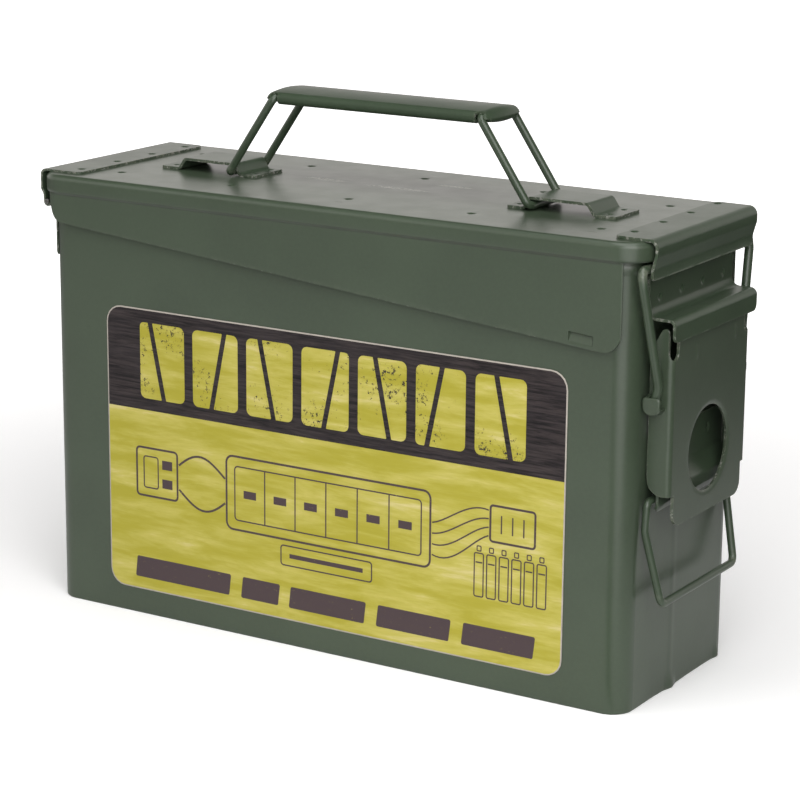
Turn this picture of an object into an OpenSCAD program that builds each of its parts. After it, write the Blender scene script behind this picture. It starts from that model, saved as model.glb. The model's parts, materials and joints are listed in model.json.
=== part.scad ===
// Lidded steel storage can with a folding top handle, an over-centre end latch and a pull ring.
// Millimetres. +X points to the latch end, -Y to the labelled side, +Z up.
// The origin is the centre of the underside.

/* [Can body] */
// Outside length of the can body
body_l = 262.5; // [250:0.5:280]
// Outside width of the can body
body_w = 89.6; // [86:0.2:100]
// Radius of the upright corners of the body
body_r = 8.8; // [7:0.1:12]
// Height of the body's mouth above the ground
mouth_z = 173.4; // [165:0.1:185]
// Thickness of the body sheet
wall = 0.9; // [0.7:0.1:1.1]
// How far the rolled mouth edge stands out from the wall
mouth_out = 0.75; // [0.5:0.05:0.8]
// Height of the rolled mouth edge
mouth_h = 2.4; // [1.5:0.1:3]
// Height of the bottom pan's upturned flange
pan_h = 7; // [5:0.5:12]

/* [Lid] */
// Outside length of the lid rim
lid_l = 273; // [272:0.5:275]
// Outside width of the lid rim
lid_w = 96.5; // [96.5:0.1:98]
// Radius of the lid's upright corners
lid_r = 13; // [11:0.5:15]
// Height of the lid top above the mouth
lid_rise = 4.1; // [4:0.1:6]
// Depth of the rim below the lid top
rim_h = 7.3; // [6.5:0.1:7.5]
// Skirt depth below the lid top at the latch end
skirt_deep = 41.2; // [30:0.2:45]
// Skirt depth below the lid top at the hinge end
skirt_shallow = 19.2; // [17:0.2:25]
// Thickness of the gasket
gasket_h = 3; // [2:0.1:3]

/* [Hinge] */
// Diameter of the hinge pin
hinge_d = 2.2; // [2:0.1:2.4]
// Length of the hinge strap along the can's end
strap_w = 84.4; // [78:0.2:86]

/* [Latch] */
// Diameter of the bail wire
bail_d = 3.5; // [3:0.1:3.5]
// Width of the lid's catch flap
flap_w = 83.4; // [78:0.2:84]
// Width of the keeper on the can's end
keeper_w = 69; // [66:0.5:70]
// Width of the lever over its side flanges
lever_w = 64.8; // [62:0.2:65]
// Diameter of the finger hole in the lever
finger_d = 32.4; // [26:0.2:34]

/* [Pull ring] */
// Diameter of the ring wire
ring_d = 3; // [2.5:0.1:3]
// Drop of the pull ring below its pivot
ring_drop = 38.5; // [34:0.5:42]

/* [Carrying handle] */
// Diameter of the handle wire
handle_d = 3.2; // [3:0.1:3.2]
// Length of the grip
grip_l = 97; // [90:0.5:100]
// Height of the raised grip above the lid
grip_rise = 36.4; // [34:0.2:38]
// Lengthwise offset of the handle from the middle of the can
handle_x = 2.1; // [0:0.1:4]

/* [Label] */
// Length of the label
label_l = 209.2; // [180:0.2:215]
// Height of the label
label_h = 116.9; // [90:0.2:120]

/* [Hidden] */

$fn = 64;
// Gap between two sheets that are spot-welded face to face
weld_gap = 0.02;
// Radial clearance of a wire or pin in its bore
run_gap = 0.05;
// Sheet of the small fittings
sheet = 1.1;
// A cutter reaches this far past the face it opens
over = 1;
// A wire's knees are this much thicker than the wire
knee = 1.03;

// Body and lid levels
body_x = body_l / 2;
body_y = body_w / 2;
lid_x = lid_l / 2;
lid_y = lid_w / 2;
lid_z = mouth_z + lid_rise;
lid_sheet = 1;
rim_z = lid_z - rim_h;
skirt_t = 0.9;
skirt_in = body_y + mouth_out + 0.25;
gasket_z = lid_z - lid_sheet - gasket_h - weld_gap;
retainer_t = 1;
retainer_x = body_x - 4.6;
retainer_y = body_y - 5.2;
retainer_r = 7;

// Hinge: the pin hangs just outside the wall, under the rim
pin_r = hinge_d / 2;
pin_x = -(body_x + 3.05);
pin_z = rim_z - 5;
knuckle_r = pin_r + run_gap + skirt_t;
bracket_w = 77;
bracket_drop = 22.2;
knuckle_w = 11;
knuckle_y = 16;

// Latch: bar_* is the bail's upper bar, pivot_* the lever's own pivot
bail_r = bail_d / 2;
bar_x = body_x + 2.5;
bar_z = rim_z - 2.7;
bail_y = 44.4;
pivot_x = body_x + 4.05;
pivot_z = bar_z - 50.2;
pivot_y = lever_w / 2 + 2;
ledge_z = 149;
lip_x = body_x + 11.75;
lip_z = 140.5;
lever_x = body_x + 10.25;
lever_t = 1.2;
lever_top = 144.2;
lever_bottom = 70.5;
flange_z = 82.6;
finger_z = 94.6;
pocket_r = 3.8;

// Pull ring
ring_r = ring_d / 2;
ring_x = body_x + 2.05;
ring_z = 80;
ring_y = 33.4;
ring_low_y = 31.1;

// Handle, measured from its own middle; v is height above the lid
handle_r = handle_d / 2;
leg_y = 12.3;
foot_u = 68;
foot_z = lid_z + 2;
pivot_u = grip_l / 2 - 2.1;
grip_z = lid_z + grip_rise;
curl_r = handle_r + run_gap + sheet + 0.15;
grip_pivot_z = grip_z - curl_r;
handle_bracket_w = 20;
foot_bar_w = 19;

// ---- Shared shapes ----

// Plate outline with four round corners
module round_rect(l, w, r) {
    difference() {
        square([l, w], center = true);
        for (sx = [-1, 1], sy = [-1, 1])
            translate([sx * (l / 2 - r), sy * (w / 2 - r)])
                difference() {
                    translate([sx * r, sy * r])
                        square(2 * r, center = true);
                    circle(r);
                }
    }
}

// Upright tube with round corners, standing on z
module round_tube(l, w, r, t, z, h) {
    translate([0, 0, z])
        linear_extrude(h)
            difference() {
                round_rect(l, w, r);
                round_rect(l - 2 * t, w - 2 * t, r - t);
            }
}

// Extrudes an outline drawn in X and Z across the width, from y0 to y1
module across(y0, y1) {
    translate([0, y1, 0])
        rotate([90, 0, 0])
            linear_extrude(y1 - y0)
                children();
}

// Extrudes an outline drawn in Y and Z along X, from x0 to x1
module along(x0, x1) {
    translate([x0, 0, 0])
        rotate([90, 0, 90])
            linear_extrude(x1 - x0)
                children();
}

// Straight wire from p to q
module rod(p, q, r) {
    d = q - p;
    translate(p)
        rotate([0, acos(d.z / norm(d)), atan2(d.y, d.x)])
            cylinder(h = norm(d), r = r);
}

// Wire along a list of points, with a round knee at each inner point. Each length of wire stops
// just short of the knee's middle. A closed wire repeats its first point at the end.
module wire(path, r) {
    last = len(path) - 1;
    closed = path[0] == path[last];
    short = r / 5;
    for (i = [1 : last]) {
        along_wire = unit(path[i] - path[i - 1]);
        start = i == 1 && !closed ? 0 : short;
        end = i == last && !closed ? 0 : short;
        rod(path[i - 1] + start * along_wire, path[i] - end * along_wire, r);
    }
    for (i = [closed ? 0 : 1 : last - 1])
        translate(path[i])
            sphere(r * knee);
}

// Mitred offset of a path to its right, for bent sheet of thickness t
function unit(v) = v / norm(v);
function side(v) = [v.y, -v.x];
function before(path, i) = unit(path[max(i, 1)] - path[max(i, 1) - 1]);
function after(path, i) = unit(path[min(i + 1, len(path) - 1)] - path[min(i, len(path) - 2)]);
function mitre(a, b) = (side(a) + side(b)) / (1 + a * b);
function offset_path(path, t) = [for (i = [0 : len(path) - 1]) path[i] + t * mitre(before(path, i), after(path, i))];
function backwards(path) = [for (i = [len(path) - 1 : -1 : 0]) path[i]];
module bent_sheet(path, t) {
    polygon(concat(path, backwards(offset_path(path, t))));
}

function mirrored(path) = [for (p = path) [p.x, -p.y, p.z]];
function both_sides(half) = concat(backwards(mirrored(half)), half);
function loop(half) = concat(both_sides(half), [mirrored(half)[len(half) - 1]]);

// ---- Can ----

module body_shell() {
    color("darkolivegreen") {
        round_tube(body_l, body_w, body_r, wall, 0, mouth_z);
        round_tube(body_l + 2 * mouth_out, body_w + 2 * mouth_out, body_r + mouth_out,
            mouth_out + wall / 2, mouth_z - mouth_h, mouth_h);
    }
}

// The pan's flat middle rests on the ground, inside a stiffening groove
module bottom_pan() {
    pan_l = body_l - 2 * (wall + weld_gap);
    pan_w = body_w - 2 * (wall + weld_gap);
    pan_r = body_r - wall;
    groove = 10;
    groove_w = 6;
    color("darkolivegreen")
        difference() {
            union() {
                round_tube(pan_l, pan_w, pan_r, wall, 0, pan_h);
                linear_extrude(2 * wall)
                    round_rect(pan_l - wall, pan_w - wall, pan_r - wall / 2);
            }
            round_tube(pan_l - 2 * groove, pan_w - 2 * groove, pan_r, groove_w, -over, over + wall);
        }
}

module hinge_bracket() {
    plate_x = pin_x + pin_r + run_gap;
    weld_pad_r = 4;
    color("darkolivegreen")
        difference() {
            union() {
                across(-bracket_w / 2, bracket_w / 2)
                    bent_sheet([[-body_x - weld_gap, pin_z - bracket_drop], [plate_x, pin_z - bracket_drop],
                        [plate_x, pin_z - knuckle_r - 0.5]], skirt_t);
                for (s = [-1, 1]) {
                    across(s * knuckle_y - knuckle_w / 2, s * knuckle_y + knuckle_w / 2) {
                        translate([plate_x, pin_z - knuckle_r - over])
                            square([skirt_t, knuckle_r + over]);
                        translate([pin_x, pin_z])
                            circle(knuckle_r);
                    }
                    translate([-body_x - weld_gap, s * bracket_w / 3, pin_z - bracket_drop / 2])
                        rotate([0, -90, 0])
                            cylinder(h = -body_x - weld_gap - plate_x - skirt_t / 2, r = weld_pad_r);
                }
            }
            across(-bracket_w, bracket_w)
                translate([pin_x, pin_z])
                    circle(pin_r + run_gap);
        }
}

module hinge_pin() {
    color("slategray")
        across(-strap_w / 2 - 0.8, strap_w / 2 + 0.8)
            translate([pin_x, pin_z])
                circle(pin_r);
}

// Plate spot-welded to the end wall, with a ledge and a lip that hold the lever's top
module keeper() {
    face_x = body_x + weld_gap + sheet;
    color("darkolivegreen")
        across(-keeper_w / 2, keeper_w / 2)
            bent_sheet([[face_x, bar_z - bail_r - 0.7], [face_x, ledge_z], [lip_x, ledge_z],
                [lip_x, lip_z]], sheet);
}

// Sheet that traps the ring's bar against the end wall
module ring_bracket() {
    face_x = body_x + weld_gap + sheet;
    hold_x = ring_x + ring_r + 0.7 + sheet;
    half_w = lever_w / 2 - lever_t - 0.4;
    color("darkolivegreen")
        across(-half_w, half_w)
            bent_sheet([[face_x, ring_z + 24], [face_x, ring_z + 9], [hold_x, ring_z + 3],
                [hold_x, ring_z - 1.5], [hold_x - 1, ring_z - 4]], sheet);
}

module label() {
    label_t = 0.25;
    label_x = 1.4;
    label_z = 10.5;
    color("olive")
        across(-body_y - weld_gap - label_t, -body_y - weld_gap)
            translate([label_x, label_z + label_h / 2])
                round_rect(label_l, label_h, 7);
}

// ---- Lid ----

// Side skirt outline: shallow at the hinge end, deep at the latch end
module skirt_outline() {
    left = -lid_x + 7;
    right = lid_x - 8.7;
    corner = 7.5;
    top = rim_z + over;
    left_z = lid_z - skirt_shallow;
    right_z = lid_z - skirt_deep;
    difference() {
        polygon([[left, top], [left + 1, rim_z - 5.5], [left + 6, left_z], [right, right_z], [right, top]]);
        translate([right - corner, right_z + corner])
            difference() {
                translate([0, -2 * corner])
                    square(2 * corner);
                circle(corner);
            }
    }
}

module lid_shell() {
    color("darkolivegreen") {
        translate([0, 0, lid_z - lid_sheet])
            linear_extrude(lid_sheet)
                round_rect(lid_l, lid_w, lid_r);
        round_tube(lid_l, lid_w, lid_r, lid_sheet, rim_z, rim_h);
        for (s = [-1, 1])
            across(s * (skirt_in + skirt_t / 2) - skirt_t / 2, s * (skirt_in + skirt_t / 2) + skirt_t / 2)
                skirt_outline();
    }
}

// Plate under the lid whose turned-down edge keeps the gasket in its channel
module gasket_retainer() {
    top = lid_z - lid_sheet - weld_gap;
    color("darkolivegreen") {
        translate([0, 0, top - retainer_t])
            linear_extrude(retainer_t)
                round_rect(2 * retainer_x, 2 * retainer_y, retainer_r);
        round_tube(2 * retainer_x, 2 * retainer_y, retainer_r, retainer_t, gasket_z - 1, top - gasket_z + 1);
    }
}

module gasket() {
    gap = 0.15;
    color("dimgray")
        translate([0, 0, gasket_z])
            linear_extrude(gasket_h)
                difference() {
                    round_rect(lid_l - 2 * (lid_sheet + gap), lid_w - 2 * (lid_sheet + gap), lid_r - lid_sheet);
                    round_rect(2 * (retainer_x + gap), 2 * (retainer_y + gap), retainer_r + gap);
                }
}

// Strap over the hinge end of the lid; its lower edge hooks under the pin
module hinge_strap() {
    top = lid_z + weld_gap + skirt_t;
    out_x = -(lid_x + weld_gap + 0.2 + skirt_t);
    leg_x = pin_x - knuckle_r;
    hook_rise = 3;
    color("darkolivegreen")
        difference() {
            across(-strap_w / 2, strap_w / 2) {
                bent_sheet([[-body_x + 13.5, top], [out_x, top], [out_x, rim_z - 0.2],
                    [leg_x, rim_z - 2.2], [leg_x, pin_z]], -skirt_t);
                difference() {
                    translate([pin_x, pin_z])
                        circle(knuckle_r);
                    translate([pin_x - 2 * knuckle_r, pin_z])
                        square(4 * knuckle_r);
                }
                translate([pin_x + pin_r + run_gap, pin_z])
                    square([skirt_t, hook_rise]);
            }
            across(-strap_w, strap_w)
                translate([pin_x, pin_z])
                    circle(pin_r + run_gap);
            for (s = [-1, 1])
                across(s * knuckle_y - knuckle_w / 2 - 0.6, s * knuckle_y + knuckle_w / 2 + 0.6)
                    translate([pin_x - 2 * knuckle_r, pin_z - 2 * knuckle_r])
                        square([4 * knuckle_r, 2 * knuckle_r + 4]);
        }
}

// Flap over the latch end of the lid; the bail's upper bar lies behind it
module catch_flap() {
    top = lid_z + weld_gap + sheet;
    out_x = lid_x + 1 + sheet;
    low_x = bar_x + bail_r + 0.5 + sheet;
    color("darkolivegreen")
        across(-flap_w / 2, flap_w / 2)
            bent_sheet([[lid_x - 15.5, top], [out_x, top], [out_x, rim_z + 0.7], [low_x, rim_z - 1.3],
                [low_x, rim_z - 6.3]], sheet);
}

// ---- Handle ----

// Bridge bracket that the foot bar slides under; side is -1 for left and 1 for right
module handle_bracket(side) {
    rise = 5.2;
    path = [[57.2, sheet], [64.5, sheet], [66.6, rise], [91.8, rise], [94.6, sheet], [103.3, sheet]];
    translate([handle_x, 0, lid_z + weld_gap])
        mirror([side < 0 ? 1 : 0, 0, 0])
            across(-handle_bracket_w / 2, handle_bracket_w / 2)
                bent_sheet(path, sheet);
}

module handle_bracket_left() {
    color("darkolivegreen")
        handle_bracket(-1);
}

module handle_bracket_right() {
    color("darkolivegreen")
        handle_bracket(1);
}

// The part of the left foot bar under the bracket, which slides as the link turns on it
module handle_foot_left() {
    color("darkolivegreen")
        rod([handle_x - foot_u, -foot_bar_w / 2, foot_z], [handle_x - foot_u, foot_bar_w / 2, foot_z], handle_r);
}

// One side of a wire link: from the bar in the grip, down the leg, to the foot bar
function link_half(side) = [
    [handle_x + side * pivot_u, leg_y, grip_pivot_z],
    [handle_x + side * foot_u, leg_y, foot_z]];

// The left link's foot bar is cut off at each side of the bracket, where handle_foot_left begins
module handle_link_left() {
    cut_end = [handle_x - foot_u, foot_bar_w / 2 + 0.2, foot_z];
    color("darkolivegreen")
        wire(both_sides(concat(link_half(-1), [cut_end])), handle_r);
}

module handle_link_right() {
    color("darkolivegreen")
        wire(loop(link_half(1)), handle_r);
}

// Grip plate with rolled long edges and ends curled round the link bars
module handle_grip() {
    plate_w = 22.4;
    roll_r = 2.4;
    roll_l = 2 * pivot_u - 7;
    curl_w = 20.8;
    color("darkolivegreen")
        translate([handle_x, 0, 0])
            difference() {
                union() {
                    translate([-pivot_u, -plate_w / 2, grip_z - sheet])
                        cube([2 * pivot_u, plate_w, sheet]);
                    for (s = [-1, 1])
                        along(-roll_l / 2, roll_l / 2)
                            difference() {
                                translate([s * plate_w / 2, grip_z - roll_r])
                                    circle(roll_r);
                                translate([s * plate_w / 2, grip_z - roll_r])
                                    circle(roll_r - sheet);
                                translate([s * (plate_w / 2 - roll_r) - roll_r, grip_z - 3 * roll_r])
                                    square([2 * roll_r, 3 * roll_r - sheet]);
                            }
                    across(-curl_w / 2, curl_w / 2)
                        for (s = [-1, 1])
                            translate([s * pivot_u, grip_pivot_z])
                                circle(curl_r);
                }
                across(-plate_w, plate_w)
                    for (s = [-1, 1])
                        translate([s * pivot_u, grip_pivot_z])
                            circle(handle_r + run_gap);
            }
}

// ---- Latch ----

// Wire bail: upper bar behind the flap, two legs, and ends turned in to carry the lever
module latch_bail() {
    half = [
        [bar_x, bail_y, bar_z],
        [bar_x + 0.8, bail_y, bar_z - 5.5],
        [pivot_x + 1.6, pivot_y + 0.1, pivot_z + 6.5],
        [pivot_x, pivot_y, pivot_z],
        [pivot_x, lever_w / 2 - 2.4, pivot_z]];
    color("darkolivegreen")
        wire(both_sides(half), bail_r);
}

module lever_face() {
    half_w = lever_w / 2;
    tongue = 28.5;
    corner = 5;
    top_w = 27.3;
    slot_r = (half_w - lever_t - top_w) / 2;
    slot_z = 135;
    difference() {
        polygon([[-half_w, flange_z], [-half_w, slot_z + 1], [-half_w + 3, slot_z + 6], [-top_w + 1, lever_top],
            [top_w - 1, lever_top], [half_w - 3, slot_z + 6], [half_w, slot_z + 1], [half_w, flange_z],
            [tongue, flange_z], [tongue, lever_bottom + corner], [tongue - corner, lever_bottom],
            [corner - tongue, lever_bottom], [-tongue, lever_bottom + corner], [-tongue, flange_z]]);
        translate([0, finger_z])
            circle(finger_d / 2);
        for (s = [-1, 1])
            translate([s * (top_w + slot_r), slot_z]) {
                circle(slot_r);
                translate([-slot_r, 0])
                    square([2 * slot_r + 2 * over, lever_top]);
            }
    }
}

module lever_flange() {
    back_x = body_x + 0.95;
    polygon([[lever_x, flange_z], [lever_x, 133], [lever_x - 1.8, 135], [lever_x - 1.8, 144.8],
        [lever_x - 4, 144.8], [lever_x - 7.8, 138.6], [back_x, 133], [back_x, 88.8], [back_x + 4.4, flange_z]]);
}

// Pocket on the flange that covers the bail's turned-in end, open where the bail's leg swings
module lever_pocket(s) {
    inner = s * lever_w / 2;
    cap = s * (pivot_y + bail_r + 0.15);
    cap_t = 1;
    across(min(inner, cap + s * cap_t), max(inner, cap + s * cap_t))
        translate([pivot_x, pivot_z])
            difference() {
                circle(pocket_r);
                circle(pocket_r - sheet);
                for (open = [-32, 30])
                    rotate(open)
                        square(3 * pocket_r);
            }
    across(min(cap, cap + s * cap_t), max(cap, cap + s * cap_t))
        translate([pivot_x, pivot_z])
            circle(pocket_r);
}

// Pressed lever: face plate with a finger hole, and a flange each side
module latch_lever() {
    color("darkolivegreen")
        difference() {
            union() {
                along(lever_x - lever_t, lever_x)
                    lever_face();
                for (s = [-1, 1]) {
                    across(s * (lever_w - lever_t) / 2 - lever_t / 2, s * (lever_w - lever_t) / 2 + lever_t / 2)
                        lever_flange();
                    lever_pocket(s);
                }
            }
            across(-lever_w / 2 - over / 2, lever_w / 2 + over / 2)
                translate([pivot_x, pivot_z])
                    circle(bail_r + run_gap);
        }
}

// Wire ring: a bar under its bracket, and legs that bend away from the wall to a lower bar
module pull_ring() {
    half = [
        [ring_x, ring_y, ring_z],
        [ring_x, ring_y + 1, ring_z - 11],
        [ring_x + 5.9, ring_low_y, ring_z - ring_drop]];
    color("darkolivegreen")
        wire(loop(half), ring_r);
}

body_shell();
bottom_pan();
hinge_bracket();
hinge_pin();
keeper();
ring_bracket();
label();
lid_shell();
gasket_retainer();
gasket();
hinge_strap();
catch_flap();
handle_bracket_left();
handle_bracket_right();
handle_foot_left();
handle_link_left();
handle_grip();
handle_link_right();
latch_bail();
latch_lever();
pull_ring();
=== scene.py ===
"""Looks for a lidded steel can: pressed sheet and bent wire under worn enamel, with a printed label."""

import json
import math

import bmesh
import bpy
import numpy as np
from mathutils import Matrix, Vector
from mathutils.geometry import delaunay_2d_cdt


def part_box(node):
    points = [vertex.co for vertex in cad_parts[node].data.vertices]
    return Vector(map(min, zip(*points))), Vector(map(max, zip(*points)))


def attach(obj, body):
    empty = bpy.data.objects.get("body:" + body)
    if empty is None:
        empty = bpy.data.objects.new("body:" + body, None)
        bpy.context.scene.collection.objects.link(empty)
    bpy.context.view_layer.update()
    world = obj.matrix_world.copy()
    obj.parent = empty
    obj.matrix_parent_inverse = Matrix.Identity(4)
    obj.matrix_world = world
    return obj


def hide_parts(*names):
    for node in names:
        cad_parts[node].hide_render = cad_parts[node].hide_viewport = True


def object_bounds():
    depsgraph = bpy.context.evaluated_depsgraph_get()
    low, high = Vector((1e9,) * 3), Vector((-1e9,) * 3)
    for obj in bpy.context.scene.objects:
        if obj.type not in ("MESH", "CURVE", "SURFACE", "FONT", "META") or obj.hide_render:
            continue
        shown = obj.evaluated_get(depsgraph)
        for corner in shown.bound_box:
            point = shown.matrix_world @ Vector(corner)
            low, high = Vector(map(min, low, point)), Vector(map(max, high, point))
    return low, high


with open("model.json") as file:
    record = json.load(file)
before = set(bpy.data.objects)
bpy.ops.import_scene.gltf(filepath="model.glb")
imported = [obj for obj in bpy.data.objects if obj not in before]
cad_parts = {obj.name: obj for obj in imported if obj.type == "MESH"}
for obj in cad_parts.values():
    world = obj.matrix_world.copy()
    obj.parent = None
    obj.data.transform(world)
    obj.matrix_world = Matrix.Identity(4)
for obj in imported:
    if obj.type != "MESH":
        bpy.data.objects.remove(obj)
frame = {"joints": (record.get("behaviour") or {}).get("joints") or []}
cad_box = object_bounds()

# Every length below is in millimetres
MM = 0.001


def box_mm(node):
    lo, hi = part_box(node)
    return np.array(lo) / MM, np.array(hi) / MM


def joint_mm(name):
    joint = next(j for j in frame["joints"] if j["name"] == name)
    return np.array(joint["pos_m"]) / MM


# ---- Sizes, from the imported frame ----

SHELL_HI = box_mm("body_shell")[1]
LID_X, LID_Y, LID_Z = box_mm("lid_shell")[1]

# How far the mouth's rolled edge stands out from the wall
MOUTH_OUT = 0.75
WALL = 0.9
BODY_X = SHELL_HI[0] - MOUTH_OUT
BODY_Y = SHELL_HI[1] - MOUTH_OUT
BODY_R = 8.8
MOUTH_Z = SHELL_HI[2]
LID_R = 13
LID_SHEET = 1.0
RIM_H = 7.3
RIM_Z = LID_Z - RIM_H
SKIRT_SHEET = 0.9
FITTING_SHEET = 1.1


# ---- Outlines and bent strips ----


def span(a, b, step):
    """Evenly spaced values from a to b, no further apart than step."""
    count = max(1, math.ceil(abs(b - a) / step - 1e-6))
    return [a + (b - a) * i / count for i in range(count + 1)]


def merge_lines(*groups, gap=0.12):
    """Sorted grid lines from several lists, leaving out any that almost repeat."""
    kept = []
    for value in sorted(v for group in groups for v in group):
        if not kept or value - kept[-1] > gap:
            kept.append(value)
    return kept


def around(centres, reach, rings=4):
    """Grid lines on both sides of each centre, for a small mark pressed in the sheet."""
    offsets = [reach * (i + 0.5) / rings for i in range(rings)] + [reach * 1.25]
    return [c + s * o for c in centres for o in offsets for s in (-1, 1)]


def corner_arc(before, corner, after, radius, turns, share):
    """Points of the arc that rounds a corner. It uses up no more than a share of either side."""
    corner = np.array(corner, float)
    a = np.array(before, float) - corner
    b = np.array(after, float) - corner
    la, lb = np.linalg.norm(a), np.linalg.norm(b)
    a, b = a / la, b / lb
    half = math.acos(max(-1.0, min(1.0, float(a @ b)))) / 2
    if radius <= 0 or half > math.pi / 2 - 0.02:
        return [corner]
    cut = min(radius / math.tan(half), la * share, lb * share)
    centre = corner + (a + b) / np.linalg.norm(a + b) * (cut / math.cos(half))
    start, end = corner + a * cut - centre, corner + b * cut - centre
    angle = math.pi - 2 * half
    return [centre + (math.sin((1 - k / turns) * angle) * start + math.sin(k / turns * angle) * end)
            / math.sin(angle) for k in range(turns + 1)]


def rounded(points, radii, turns=5):
    """A closed outline with each corner turned into an arc. A radius of 0 keeps a corner."""
    if not isinstance(radii, (list, tuple)):
        radii = [radii] * len(points)
    out = []
    for i, radius in enumerate(radii):
        after = points[(i + 1) % len(points)]
        out += [tuple(p) for p in corner_arc(points[i - 1], points[i], after, radius, turns, 0.499)]
    return out


def box_outline(u0, v0, u1, v1, radius):
    return rounded([(u0, v0), (u1, v0), (u1, v1), (u0, v1)], radius)


def circle_outline(centre, radius, count):
    return [(centre[0] + radius * math.cos(2 * math.pi * i / count),
             centre[1] + radius * math.sin(2 * math.pi * i / count)) for i in range(count)]


class Fold:
    """A bent strip seen edge on: straight runs joined by arcs, measured along its outer face."""

    def __init__(self, points, radii, tail=()):
        self.runs = []
        self.length = 0.0
        self.tip = np.array(points[0], float)
        points = [np.array(p, float) for p in points]
        used = 0.0
        for i in range(1, len(points)):
            step = points[i] - points[i - 1]
            self.heading = math.atan2(step[1], step[0])
            turn = 0.0
            if i < len(points) - 1:
                ahead = points[i + 1] - points[i]
                turn = math.atan2(ahead[1], ahead[0]) - self.heading
                turn = (turn + math.pi) % (2 * math.pi) - math.pi
            cut = radii[i - 1] * math.tan(abs(turn) / 2) if turn else 0.0
            self.go(float(np.linalg.norm(step)) - used - cut)
            if turn:
                self.turn(radii[i - 1], turn)
            used = cut
        for radius, amount in tail:
            if radius:
                self.turn(radius, math.radians(amount))
            else:
                self.go(amount)

    def go(self, length):
        self.runs.append((self.length, length, self.tip, self.heading, 0.0))
        self.tip = self.tip + length * np.array([math.cos(self.heading), math.sin(self.heading)])
        self.length += length

    def turn(self, radius, angle):
        bend = math.copysign(radius, angle)
        self.runs.append((self.length, radius * abs(angle), self.tip, self.heading, bend))
        self.tip = self.point(self.runs[-1], radius * abs(angle))
        self.heading += angle
        self.length += radius * abs(angle)

    @staticmethod
    def point(run, s):
        start, heading, bend = run[2], run[3], run[4]
        if not bend:
            return start + s * np.array([math.cos(heading), math.sin(heading)])
        centre = start + bend * np.array([-math.sin(heading), math.cos(heading)])
        turned = heading + s / bend
        return centre + bend * np.array([math.sin(turned), -math.cos(turned)])

    def at(self, s):
        run = self.runs[0]
        for candidate in self.runs:
            if s >= candidate[0] - 1e-9:
                run = candidate
        return self.point(run, s - run[0])

    def lines(self, step, angle=15):
        """Grid lines along the strip: sparse on the straight, one for each few degrees in a bend."""
        out = [0.0]
        for start, length, _, _, bend in self.runs:
            parts = span(0, length, step)
            if bend:
                parts = span(0, length, math.radians(angle) * abs(bend))
            out += [start + p for p in parts[1:]]
        return out


# ---- Making a piece ----


def finish_piece(name, verts, faces, body, nodes, materials, worn=None, outward=None,
                 thickness=0.0, edge=0.0, face_materials=None):
    """Turns points in millimetres into a piece of the object, with its thickness and soft edges."""
    mesh = bpy.data.meshes.new(name)
    mesh.from_pydata([tuple(float(c) * MM for c in v) for v in verts], [], faces)
    wear = mesh.attributes.new("wear", "FLOAT", "POINT")
    wear.data.foreach_set("value", worn if worn is not None else [0.0] * len(verts))
    if face_materials is not None:
        mesh.polygons.foreach_set("material_index", face_materials)
    bm = bmesh.new()
    bm.from_mesh(mesh)
    bmesh.ops.remove_doubles(bm, verts=bm.verts, dist=0.002 * MM)
    bmesh.ops.dissolve_degenerate(bm, edges=bm.edges, dist=0.001 * MM)
    bmesh.ops.recalc_face_normals(bm, faces=bm.faces)
    if outward is not None:
        total = Vector((0, 0, 0))
        for face in bm.faces:
            total += face.normal * face.calc_area()
        if total.dot(Vector(outward)) < 0:
            bmesh.ops.reverse_faces(bm, faces=bm.faces)
    bm.to_mesh(mesh)
    bm.free()
    mesh.polygons.foreach_set("use_smooth", [True] * len(mesh.polygons))
    piece = bpy.data.objects.new(name, mesh)
    bpy.context.scene.collection.objects.link(piece)
    for material in materials:
        mesh.materials.append(material)
    if thickness:
        solid = piece.modifiers.new("sheet", "SOLIDIFY")
        solid.thickness = thickness * MM
        solid.offset = -1
        solid.use_even_offset = False
    if edge:
        bevel = piece.modifiers.new("edges", "BEVEL")
        bevel.width = edge * MM
        bevel.segments = 2
        bevel.limit_method = "ANGLE"
        bevel.angle_limit = math.radians(50)
    normals = piece.modifiers.new("normals", "WEIGHTED_NORMAL")
    normals.keep_sharp = True
    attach(piece, body)
    if nodes:
        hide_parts(*nodes)
    return piece


def split_outline(loop, us, vs):
    """Adds a point wherever the outline crosses a grid line, so that the sheet can bend there."""
    out = []
    for a, b in zip(loop, loop[1:] + loop[:1]):
        a, b = np.array(a, float), np.array(b, float)
        cuts = [0.0]
        for axis, lines in ((0, us), (1, vs)):
            if abs(b[axis] - a[axis]) > 1e-6:
                cuts += [t for t in (np.array(lines) - a[axis]) / (b[axis] - a[axis]) if 0 < t < 1]
        length = np.linalg.norm(b - a)
        last = -1.0
        for t in sorted(cuts):
            if (t - last) * length > 0.04 and (1 - t) * length > 0.04:
                out.append(tuple(a + t * (b - a)))
                last = t
    return out


def inside(points, loops):
    """Which points lie in an odd number of the loops."""
    odd = np.zeros(len(points), bool)
    x, y = points[:, 0], points[:, 1]
    for loop in loops:
        a = np.array(loop, float)
        b = np.roll(a, -1, axis=0)
        for (ax, ay), (bx, by) in zip(a, b):
            if ay != by:
                crosses = (ay > y) != (by > y)
                odd ^= crosses & (x < (bx - ax) * (y - ay) / (by - ay) + ax)
    return odd


def edge_distance(points, loops):
    """Distance from each point to the nearest outline."""
    best = np.full(len(points), 1e9)
    for loop in loops:
        a = np.array(loop, float)
        b = np.roll(a, -1, axis=0)
        for p, q in zip(a, b):
            d = q - p
            t = np.clip(((points - p) @ d) / max(d @ d, 1e-12), 0, 1)
            best = np.minimum(best, np.linalg.norm(points - p - t[:, None] * d, axis=1))
    return best


# How far paint wear reaches in from a cut edge
WEAR_BAND = 0.7


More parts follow.
